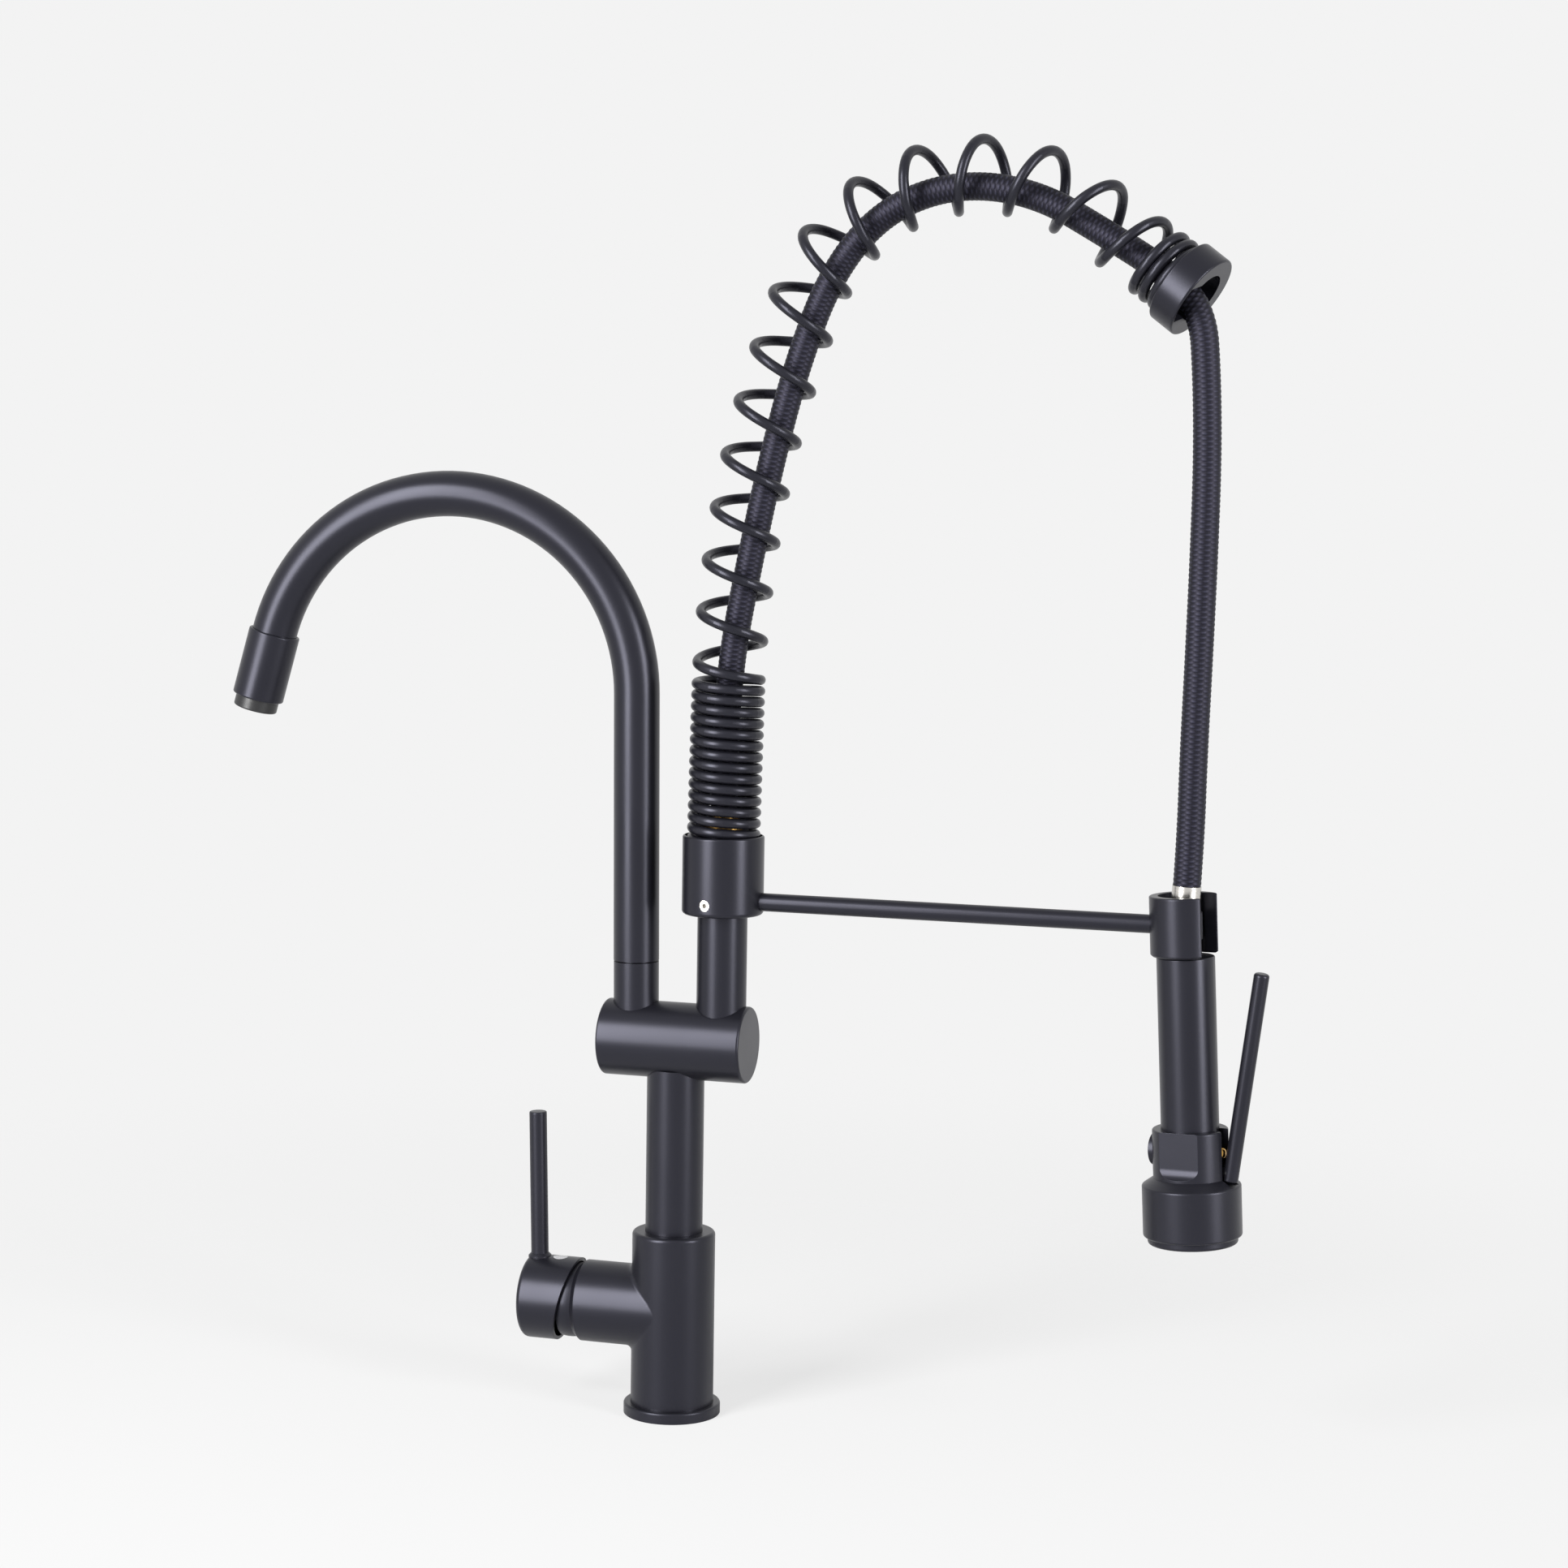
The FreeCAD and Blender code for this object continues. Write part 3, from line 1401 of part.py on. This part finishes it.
pieces = {
    "base_flange": make_base_flange,
    "base_gasket": make_base_gasket,
    "mixer_body": make_mixer_body,
    "cartridge_port_seals": make_port_seals,
    "cartridge_case": make_cartridge_case,
    "cartridge_nut": make_cartridge_nut,
    "bonnet_ring": make_bonnet_ring,
    "cartridge_rotor": make_cartridge_rotor,
    "rotor_pin": make_rotor_pin,
    "cartridge_spindle": make_cartridge_spindle,
    "handle_cap": make_handle_cap,
    "cap_grub_screw": make_cap_grub_screw,
    "cap_plug": make_cap_plug,
    "pin_lever": make_pin_lever,
    "riser_tube": make_riser_tube,
    "riser_seals": make_riser_seals,
    "cross_body": make_cross_body,
    "cross_end_plug": make_cross_end_plug,
    "diverter_sleeve": make_diverter_sleeve,
    "diverter_poppet": make_diverter_poppet,
    "diverter_spring": make_diverter_spring,
    "left_post": make_left_post,
    "spout_seals": make_spout_seals,
    "spout_bush": make_spout_bush,
    "swan_spout": make_swan_spout,
    "aerator_housing": make_aerator_housing,
    "aerator_washer": make_aerator_washer,
    "aerator_insert": make_aerator_insert,
    "right_post": make_right_post,
    "post_seals": make_post_seals,
    "post_retaining_screw": make_post_retaining_screw,
    "hose_nipple": make_hose_nipple,
    "arm_collar": make_arm_collar,
    "collar_set_screw": make_collar_set_screw,
    "arm_rod": make_arm_rod,
    "dock_ring": make_dock_ring,
    "dock_cradle": make_dock_cradle,
    "arch_spring": make_arch_spring,
    "spring_end_ring": make_spring_end_ring,
    "spray_hose": make_spray_hose,
    "hose_ferrule": make_hose_ferrule,
    "hose_nut": make_hose_nut,
    "spray_neck": make_spray_neck,
    "spray_handle": make_spray_handle,
    "valve_body": make_valve_body,
    "valve_plug": make_valve_plug,
    "valve_stem": make_valve_stem,
    "stem_spring": make_stem_spring,
    "lever_pin": make_lever_pin,
    "spray_lever": make_spray_lever,
    "spray_head": make_spray_head,
    "flow_disc": make_flow_disc,
    "spray_face": make_spray_face,
}

os.makedirs("parts", exist_ok=True)
for piece_name, maker in pieces.items():
    piece = maker()
    save(piece_name, piece)
    report = (piece_name, len(piece.Solids), piece.isValid(), piece.Volume)
    print("%-22s solids %d valid %s volume %.0f" % report)
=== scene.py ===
import math

import bmesh
import bpy
from mathutils import Matrix, Vector


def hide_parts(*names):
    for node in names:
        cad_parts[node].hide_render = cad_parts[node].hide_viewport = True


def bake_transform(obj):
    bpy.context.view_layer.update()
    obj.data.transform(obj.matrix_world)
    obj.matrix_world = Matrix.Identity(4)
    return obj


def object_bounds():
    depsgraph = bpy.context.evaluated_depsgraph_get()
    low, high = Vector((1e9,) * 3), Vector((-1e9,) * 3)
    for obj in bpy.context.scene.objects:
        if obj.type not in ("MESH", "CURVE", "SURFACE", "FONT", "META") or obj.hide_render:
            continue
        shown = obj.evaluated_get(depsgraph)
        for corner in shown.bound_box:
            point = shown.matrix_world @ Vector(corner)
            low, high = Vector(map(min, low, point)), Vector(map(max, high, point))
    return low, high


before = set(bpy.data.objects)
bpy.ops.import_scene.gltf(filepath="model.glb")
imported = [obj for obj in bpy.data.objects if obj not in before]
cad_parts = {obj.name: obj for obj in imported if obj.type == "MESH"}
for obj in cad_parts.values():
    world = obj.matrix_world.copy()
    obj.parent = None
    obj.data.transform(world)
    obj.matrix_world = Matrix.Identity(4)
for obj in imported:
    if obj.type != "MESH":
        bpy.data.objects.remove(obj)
cad_low, cad_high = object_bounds()


# Camera
# The photograph was taken with a long lens about 1.7 m away, from the right of the mixer's front,
# a little above its middle and looking down by just under 6 degrees, with a slight roll.
eye = Vector((0.5273, -1.6015, 0.5148))
look_turn = math.radians(16.323)
look_down = math.radians(5.765)
look_roll = math.radians(0.899)
lens_mm = 72.70
sensor_mm = 36

ahead = Vector((-math.sin(look_turn) * math.cos(look_down), math.cos(look_turn) * math.cos(look_down),
                -math.sin(look_down)))
level_right = Vector((math.cos(look_turn), math.sin(look_turn), 0))
level_up = level_right.cross(ahead)
right = level_right * math.cos(look_roll) + level_up * math.sin(look_roll)
up = level_up * math.cos(look_roll) - level_right * math.sin(look_roll)
camera = bpy.data.objects.new("camera", bpy.data.cameras.new("camera"))
camera.data.sensor_width = sensor_mm
camera.data.lens = lens_mm
camera.matrix_world = Matrix.Translation(eye) @ Matrix((right, up, -ahead)).transposed().to_4x4()
bpy.context.scene.collection.objects.link(camera)
bpy.context.scene.camera = camera
bpy.context.scene.view_settings.view_transform = "Standard"


# Spray hose
# A rubber hose in a braided black nylon cover, 14.5 mm across. It leaves the nipple on the post inside
# the closed coils, runs loose inside the spring, comes out of the end ring and hangs down to its ferrule.
hose_radius = 0.00725
hose_length = 0.8103
line_steps = 24
hose_route = [
    (0.0252, 0, 0.3305), (0.0252, 0, 0.3605), (0.0280, 0, 0.412), (0.0370, 0, 0.461), (0.0483, 0, 0.515),
    (0.0616, 0, 0.566), (0.0794, 0, 0.6135), (0.1068, 0, 0.6458), (0.1450, 0, 0.6595), (0.1870, 0, 0.6545),
    (0.2260, 0, 0.632), (0.2543, -0.003, 0.6146), (0.2748, -0.0063, 0.595), (0.2777, -0.005, 0.560),
    (0.2789, -0.0035, 0.520), (0.2782, -0.002, 0.470), (0.2770, -0.001, 0.420), (0.2756, 0, 0.370),
    (0.27528, 0, 0.32935), (0.27410, 0, 0.30338),
]
hose_line = bpy.data.curves.new("hose_line", "CURVE")
hose_line.dimensions = "3D"
hose_line.resolution_u = line_steps
spline = hose_line.splines.new("NURBS")
spline.points.add(len(hose_route) - 1)
for point, place in zip(spline.points, hose_route):
    point.co = (*place, 1)
spline.order_u = 3
spline.use_endpoint_u = True
line_object = bpy.data.objects.new("hose_line", hose_line)
line_mesh = bpy.data.meshes.new_from_object(line_object)
hose_path = [v.co.copy() for v in line_mesh.vertices]
bpy.data.objects.remove(line_object)
bpy.data.meshes.remove(line_mesh)


def srgb(code):
    """Linear colour from an sRGB hex value."""
    parts = [int(code[i:i + 2], 16) / 255 for i in (1, 3, 5)]
    return [p / 12.92 if p <= 0.04045 else ((p + 0.055) / 1.055) ** 2.4 for p in parts] + [1]


def add_node(tree, kind, settings):
    """A node with its settings: sockets by name or number, given a value or linked, or properties."""
    node = tree.nodes.new("ShaderNode" + kind)
    for key, value in settings.items():
        if isinstance(key, str) and key not in node.inputs:
            setattr(node, key, value)
        elif isinstance(value, bpy.types.NodeSocket):
            tree.links.new(value, node.inputs[key])
        else:
            node.inputs[key].default_value = value
    return node


def new_finish(name):
    """An empty material and its node tree."""
    made = bpy.data.materials.new(name)
    made.use_nodes = True
    made.node_tree.nodes.clear()
    return made, made.node_tree


def new_piece(name, mesh, material, replaced=()):
    """The mesh as a piece of the object, standing for the nodes it replaces."""
    piece = bpy.data.objects.new(name, mesh)
    bpy.context.scene.collection.objects.link(piece)
    mesh.materials.append(material)
    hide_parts(*replaced)
    return piece


# The cover is braided from seven strands each way. They cross in 14 columns round the hose, 2.6 mm
# apart along it, and the strand on top leans one way in one column and the other way in the next.
# A strand sinks to 0.45 of its height where it passes under its neighbour.
braid_strands = 7
braid_pitch = 0.0026
braid_bulge = 0.00032
strand_dip = 0.45
points_per_column = 3
rings_per_pitch = 6


def strand_height(turn, distance):
    """How far the strand on top stands up here, from 0 between strands to 1 on a crown."""
    rising = braid_strands * turn + distance / braid_pitch
    falling = braid_strands * turn - distance / braid_pitch
    across, lengthwise = rising % 1, falling % 1
    if (math.floor(rising) + math.floor(falling)) % 2:
        across, lengthwise = lengthwise, across
    crossing = strand_dip + (1 - strand_dip) * math.sin(math.pi * lengthwise)
    return math.sqrt(math.sin(math.pi * across)) * crossing


def even_walk(path, count):
    """Evenly spaced places along the path, each with two directions across it that never twist."""
    reach = [0]
    for a, b in zip(path, path[1:]):
        reach.append(reach[-1] + (b - a).length)
    places = []
    at = 0
    for i in range(count + 1):
        wanted = reach[-1] * i / count
        while at < len(path) - 2 and reach[at + 1] < wanted:
            at += 1
        places.append(path[at].lerp(path[at + 1], (wanted - reach[at]) / (reach[at + 1] - reach[at])))
    across = Vector((0, 1, 0))
    walk = []
    for i, place in enumerate(places):
        along = (places[min(i + 1, count)] - places[max(i - 1, 0)]).normalized()
        across = (across - along * across.dot(along)).normalized()
        walk.append((place, across.copy(), along.cross(across)))
    return walk


def rolled_tube(name, walk, sides, length, radius_at):
    """A flat sheet rolled round the walk and joined along its edge; UV runs round it and along it."""
    rings = len(walk) - 1
    shape = bmesh.new()
    shape.loops.layers.uv.new("UVMap")
    bmesh.ops.create_grid(shape, x_segments=sides, y_segments=rings, size=0.5, calc_uvs=True)
    for vert in shape.verts:
        turn = vert.co.x + 0.5
        along = vert.co.y + 0.5
        place, across, other = walk[round(along * rings)]
        angle = 2 * math.pi * turn
        reach = radius_at(turn, along * length)
        vert.co = place + (across * math.cos(angle) + other * math.sin(angle)) * reach
    bmesh.ops.remove_doubles(shape, verts=shape.verts, dist=1e-6)
    bmesh.ops.holes_fill(shape, edges=[e for e in shape.edges if e.is_boundary])
    bmesh.ops.recalc_face_normals(shape, faces=shape.faces)
    for face in shape.faces:
        face.smooth = True
    mesh = bpy.data.meshes.new(name)
    shape.to_mesh(mesh)
    shape.free()
    return mesh


# Braided nylon: dull black. The crown of every strand is painted lighter, a painted highlight for its soft
# sheen, and the gaps between are painted darker, as painted shade.
nylon_gap_painted_shade = "#050507"
nylon_crown_painted_highlight = "#262631"
nylon_sheen = "#CFCBEA"
gap_height = 0.02
crown_height = 0.2
strand_relief = 0.0004

braided_nylon, tree = new_finish("braided_nylon")
place = add_node(tree, "UVMap", {"uv_map": "UVMap"})
parts = add_node(tree, "SeparateXYZ", {0: place.outputs[0]})
turns = add_node(tree, "Math", {"operation": "MULTIPLY", 0: parts.outputs[0], 1: braid_strands})
rows = add_node(tree, "Math", {"operation": "MULTIPLY", 0: parts.outputs[1], 1: hose_length / braid_pitch})
rising = add_node(tree, "Math", {"operation": "ADD", 0: turns.outputs[0], 1: rows.outputs[0]})
falling = add_node(tree, "Math", {"operation": "SUBTRACT", 0: turns.outputs[0], 1: rows.outputs[0]})
rise_floor = add_node(tree, "Math", {"operation": "FLOOR", 0: rising.outputs[0]})
fall_floor = add_node(tree, "Math", {"operation": "FLOOR", 0: falling.outputs[0]})
cell = add_node(tree, "Math", {"operation": "ADD", 0: rise_floor.outputs[0], 1: fall_floor.outputs[0]})
parity = add_node(tree, "Math", {"operation": "FLOORED_MODULO", 0: cell.outputs[0], 1: 2})
across = add_node(tree, "Mix", {"data_type": "FLOAT", 0: parity.outputs[0], 2: rising.outputs[0],
                                3: falling.outputs[0]})
lengthwise = add_node(tree, "Mix", {"data_type": "FLOAT", 0: parity.outputs[0], 2: falling.outputs[0],
                                    3: rising.outputs[0]})
crown = add_node(tree, "Math", {"operation": "PINGPONG", 0: across.outputs[0], 1: 0.5})
middle = add_node(tree, "Math", {"operation": "PINGPONG", 0: lengthwise.outputs[0], 1: 0.5})
height = add_node(tree, "Math", {"operation": "MULTIPLY", 0: crown.outputs[0], 1: middle.outputs[0]})
lit = add_node(tree, "MapRange", {"interpolation_type": "SMOOTHSTEP", "Value": height.outputs[0],
                                  "From Min": gap_height, "From Max": crown_height})
# The strand's height blends painted shade in the gaps into a painted highlight on the crowns.
shade = add_node(tree, "Mix", {"data_type": "RGBA", 0: lit.outputs[0], 6: srgb(nylon_gap_painted_shade),
                               7: srgb(nylon_crown_painted_highlight)})
relief = add_node(tree, "Bump", {"Strength": 0.8, "Distance": strand_relief, "Height": height.outputs[0]})
gloss = add_node(tree, "BsdfPrincipled", {
    "Base Color": shade.outputs[2], "Roughness": 0.5, "IOR": 1.53, "Specular IOR Level": 0.3,
    "Specular Tint": srgb(nylon_sheen), "Normal": relief.outputs[0]})
add_node(tree, "OutputMaterial", {0: gloss.outputs[0]})

hose_rings = round(hose_length / braid_pitch) * rings_per_pitch
hose_sides = 2 * braid_strands * points_per_column


def braid_reach(turn, distance):
    """Radius of the braided surface at this turn and distance."""
    return hose_radius - braid_bulge * (1 - strand_height(turn, distance))


hose_mesh = rolled_tube("spray_hose_braid", even_walk(hose_path, hose_rings), hose_sides, hose_length,
                        braid_reach)
hose = new_piece("spray_hose_braid", hose_mesh, braided_nylon, ["spray_hose"])
# The hanging stretch bends from the arch to the docked end. The line between the two points is askew,
# so that the hose's other leg, inside the spring, stays with the arch.
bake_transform(hose)


# Studio
# Pale floor under a pale surround and a tall soft box on each side of the camera, as for a catalogue
# picture: each upright tube gets two soft bands of light with a darker one between them. The floor
# fades into the surround, and the camera sees it evened out, with the object's shadow kept.
backdrop_colour = "#F3F3F3"
fill_level = 0.22
floor_radius = 1.0
floor_clear = 0.15
floor_glow = 0.78
floor_sides = 64
box_distance = 2.2
soft_boxes = [
    {"name": "left_soft_box", "turn": -119, "lift": 16, "width": 0.9, "height": 2.0, "watts": 100},
    {"name": "right_soft_box", "turn": -21, "lift": 9, "width": 0.6, "height": 1.5, "watts": 46},
]

world = bpy.data.worlds.new("surround")
world.use_nodes = True
bpy.context.scene.world = world
tree = world.node_tree
tree.nodes.clear()
rays = add_node(tree, "LightPath", {})
seen = add_node(tree, "Math", {"operation": "MAXIMUM", 0: rays.outputs["Is Camera Ray"],
                               1: rays.outputs["Is Glossy Ray"]})
seen = add_node(tree, "Math", {"operation": "MAXIMUM", 0: seen.outputs[0],
                               1: rays.outputs["Is Transmission Ray"]})
fill = add_node(tree, "Background", {"Color": srgb("#FFFFFF"), "Strength": fill_level})
pale = add_node(tree, "Background", {"Color": srgb(backdrop_colour), "Strength": 1})
either = add_node(tree, "MixShader", {0: seen.outputs[0], 1: fill.outputs[0], 2: pale.outputs[0]})
add_node(tree, "OutputWorld", {"Surface": either.outputs[0]})

middle = (Vector(cad_low) + Vector(cad_high)) / 2
for box in soft_boxes:
    lamp = bpy.data.lights.new(box["name"], "AREA")
    lamp.shape = "RECTANGLE"
    lamp.size = box["width"]
    lamp.size_y = box["height"]
    lamp.energy = box["watts"]
    turn = math.radians(box["turn"])
    lift = math.radians(box["lift"])
    away = Vector((math.cos(turn) * math.cos(lift), math.sin(turn) * math.cos(lift), math.sin(lift)))
    stand = bpy.data.objects.new(box["name"], lamp)
    stand.location = middle + away * box_distance
    stand.rotation_euler = (-away).to_track_quat("-Z", "Y").to_euler()
    bpy.context.scene.collection.objects.link(stand)

# Painted board: flat and matt.
painted_board, tree = new_finish("painted_board")
place = add_node(tree, "TexCoord", {})
reach = add_node(tree, "VectorMath", {"operation": "LENGTH", 0: place.outputs["Object"]})
fade = add_node(tree, "MapRange", {"interpolation_type": "SMOOTHSTEP", "Value": reach.outputs["Value"],
                                   "From Min": floor_clear, "From Max": floor_radius})
rays = add_node(tree, "LightPath", {})
board = add_node(tree, "BsdfDiffuse", {"Color": srgb(backdrop_colour)})
pale = add_node(tree, "Emission", {"Color": srgb(backdrop_colour), "Strength": 1})
evened = add_node(tree, "Math", {"operation": "MULTIPLY", 0: rays.outputs["Is Camera Ray"], 1: floor_glow})
board = add_node(tree, "MixShader", {0: evened.outputs[0], 1: board.outputs[0], 2: pale.outputs[0]})
clear = add_node(tree, "BsdfTransparent", {})
either = add_node(tree, "MixShader", {0: fade.outputs[0], 1: board.outputs[0], 2: clear.outputs[0]})
add_node(tree, "OutputMaterial", {0: either.outputs[0]})
shape = bmesh.new()
bmesh.ops.create_circle(shape, cap_ends=True, segments=floor_sides, radius=floor_radius)
floor_mesh = bpy.data.meshes.new("floor")
shape.to_mesh(floor_mesh)
shape.free()
floor_mesh.materials.append(painted_board)
floor = bpy.data.objects.new("floor", floor_mesh)
bpy.context.scene.collection.objects.link(floor)


# Flange and mixer body
# The body is forged brass, turned and polished, on a turned flange with a rubber gasket. All the black
# metal is coated after polishing: nearly black and satin, with a bluish sheen and edges slightly
# softened by the coat. Its real grain is finer than the picture shows, so it is drawn 0.9 mm wide.
coat_colour = "#131318"
coat_tint = "#D0D0E3"
coat_mottle = 0.045
coat_grain = 0.0009
grain_relief = 0.0002
edge_round = 0.0003

# How far the roughness drifts either way across the coat, and in the grain of the plain finishes. The
# noise that drives both lies mostly between the two limits.
coat_smoother = 0.02
coat_rougher = 0.03
grain_drift = 0.04
noise_low = 0.3
noise_high = 0.7


def satin_black(name, rough, gloss, softened=edge_round):
    """Satin black coat or moulding, a little cloudy, with fine grain and softened edges."""
    made, tree = new_finish(name)
    place = add_node(tree, "TexCoord", {})
    cloud = add_node(tree, "TexNoise", {"Vector": place.outputs["Object"], "Scale": 1 / coat_mottle,
                                        "Detail": 2})
    uneven = add_node(tree, "MapRange", {"Value": cloud.outputs["Fac"],
                                         "From Min": noise_low, "From Max": noise_high,
                                         "To Min": rough - coat_smoother, "To Max": rough + coat_rougher})
    grain = add_node(tree, "TexNoise", {"Vector": place.outputs["Object"], "Scale": 1 / coat_grain,
                                        "Detail": 2})
    edge = add_node(tree, "Bevel", {"samples": 4, "Radius": softened})
    relief = add_node(tree, "Bump", {"Strength": 0.04, "Distance": grain_relief,
                                     "Height": grain.outputs["Fac"], "Normal": edge.outputs[0]})
    satin = add_node(tree, "BsdfPrincipled", {
        "Base Color": srgb(coat_colour), "IOR": 1.5, "Specular IOR Level": gloss,
        "Specular Tint": srgb(coat_tint), "Roughness": uneven.outputs[0], "Normal": relief.outputs[0]})
    add_node(tree, "OutputMaterial", {0: satin.outputs[0]})
    return made


def plain_finish(name, colour, rough, metallic, grain_size, grain_depth):
    """A moulded or turned material with fine grain in its gloss and relief."""
    made, tree = new_finish(name)
    place = add_node(tree, "TexCoord", {})
    grain = add_node(tree, "TexNoise", {"Vector": place.outputs["Object"], "Scale": 1 / grain_size,
                                        "Detail": 2})
    uneven = add_node(tree, "MapRange", {"Value": grain.outputs["Fac"],
                                         "From Min": noise_low, "From Max": noise_high,
                                         "To Min": rough - grain_drift, "To Max": rough + grain_drift})
    relief = add_node(tree, "Bump", {"Strength": 0.3, "Distance": grain_depth,
                                     "Height": grain.outputs["Fac"]})
    body = add_node(tree, "BsdfPrincipled", {
        "Base Color": srgb(colour), "Metallic": metallic, "IOR": 1.5, "Roughness": uneven.outputs[0],
        "Normal": relief.outputs[0]})
    add_node(tree, "OutputMaterial", {0: body.outputs[0]})
    return made


def dress(finish, *nodes):
    """Gives machined pieces, kept as they are, their finish."""
    for node in nodes:
        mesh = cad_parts[node].data
        mesh.materials.clear()
        mesh.materials.append(finish)


# Black coat over polished brass: smooth enough for soft, clear-edged bands of light.
satin_coat = satin_black("satin_black_coat", rough=0.32, gloss=0.42)

# Moulded rubber is dull with a fine grain, and moulded acetal a little glossy.
black_rubber = plain_finish("moulded_black_rubber", "#141414", rough=0.62, metallic=0,
                            grain_size=0.0006, grain_depth=0.00005)
black_acetal = plain_finish("moulded_black_acetal", "#131315", rough=0.38, metallic=0,
                            grain_size=0.0012, grain_depth=0.00002)

# Turned stainless steel and brass are bright, with a soft tool finish.
stainless = plain_finish("turned_stainless_steel", "#C9C6C1", rough=0.24, metallic=1,
                         grain_size=0.0008, grain_depth=0.00001)
turned_brass = plain_finish("turned_brass", "#C39A55", rough=0.24, metallic=1,
                            grain_size=0.0008, grain_depth=0.00001)

dress(satin_coat, "base_flange", "mixer_body")
dress(black_rubber, "base_gasket", "cartridge_port_seals")
dress(black_acetal, "cartridge_case", "cartridge_nut", "cartridge_rotor")
dress(stainless, "rotor_pin", "cartridge_spindle")


# Handle
# A domed bonnet ring, a coated cap with an oblique rim, and a thin pin lever screwed into its top. An
# index plug, moulded in pale glossy plastic, closes the hole of the grub screw that holds the cap.
pale_plastic = plain_finish("moulded_pale_plastic", "#B9B9BC", rough=0.2, metallic=0,
                            grain_size=0.002, grain_depth=0.00001)
dress(satin_coat, "bonnet_ring", "handle_cap", "pin_lever")
dress(stainless, "cap_grub_screw")
dress(pale_plastic, "cap_plug")


# Riser and cross body
# A polished and coated brass tube carries the cross body, a turned cylinder bored for the automatic
# diverter. A disc closes its left end.
dress(satin_coat, "riser_tube", "cross_body", "cross_end_plug")
dress(black_rubber, "riser_seals")
dress(turned_brass, "diverter_sleeve", "diverter_poppet")
dress(stainless, "diverter_spring")


# Swan spout
# A bent brass tube that turns on the left post, with a screwed aerator at its tip.
dress(satin_coat, "left_post", "swan_spout", "aerator_housing")
dress(black_rubber, "spout_seals", "aerator_washer")
dress(black_acetal, "spout_bush", "aerator_insert")


# Right post, collar and arm
# The turning post carries a thick collar with the spring's cup. Its bright set screw locks it, and the
# thin arm is screwed into its side.
dress(satin_coat, "right_post", "arm_collar", "arm_rod")
dress(black_rubber, "post_seals")
dress(stainless, "post_retaining_screw", "collar_set_screw")
dress(turned_brass, "hose_nipple")


# Dock
# A turned ring, slotted at the side away from the arm, with a plastic cradle inside it that the hose's
# nut hangs on. It has the same coat, over edges rounded by about 1 mm.
dock_edge_round = 0.001
dock_coat = satin_black("satin_black_dock_coat", rough=0.32, gloss=0.42, softened=dock_edge_round)
dress(dock_coat, "dock_ring")
dress(black_acetal, "dock_cradle")


# Spring arch
# One coated steel wire, closely wound at both ends and open over the arch. A slotted ring holds its end.
dress(satin_coat, "arch_spring", "spring_end_ring")


# Hose end
# A crimped stainless ferrule and a coated swivel nut with grip flutes.
dress(stainless, "hose_ferrule")
dress(satin_coat, "hose_nut")


# Spray
# A coated brass handle, a flat-sided valve housing with a slot for the grip lever, and a wide bell with
# a nozzle plate. The plate is moulded in black plastic, a little duller than the coat.
satin_plastic = satin_black("moulded_satin_plastic", rough=0.36, gloss=0.4)
dress(satin_coat, "spray_neck", "spray_handle", "valve_body", "valve_plug", "spray_lever", "spray_head")
dress(turned_brass, "valve_stem")
dress(stainless, "stem_spring", "lever_pin")
dress(black_acetal, "flow_disc")
dress(satin_plastic, "spray_face")
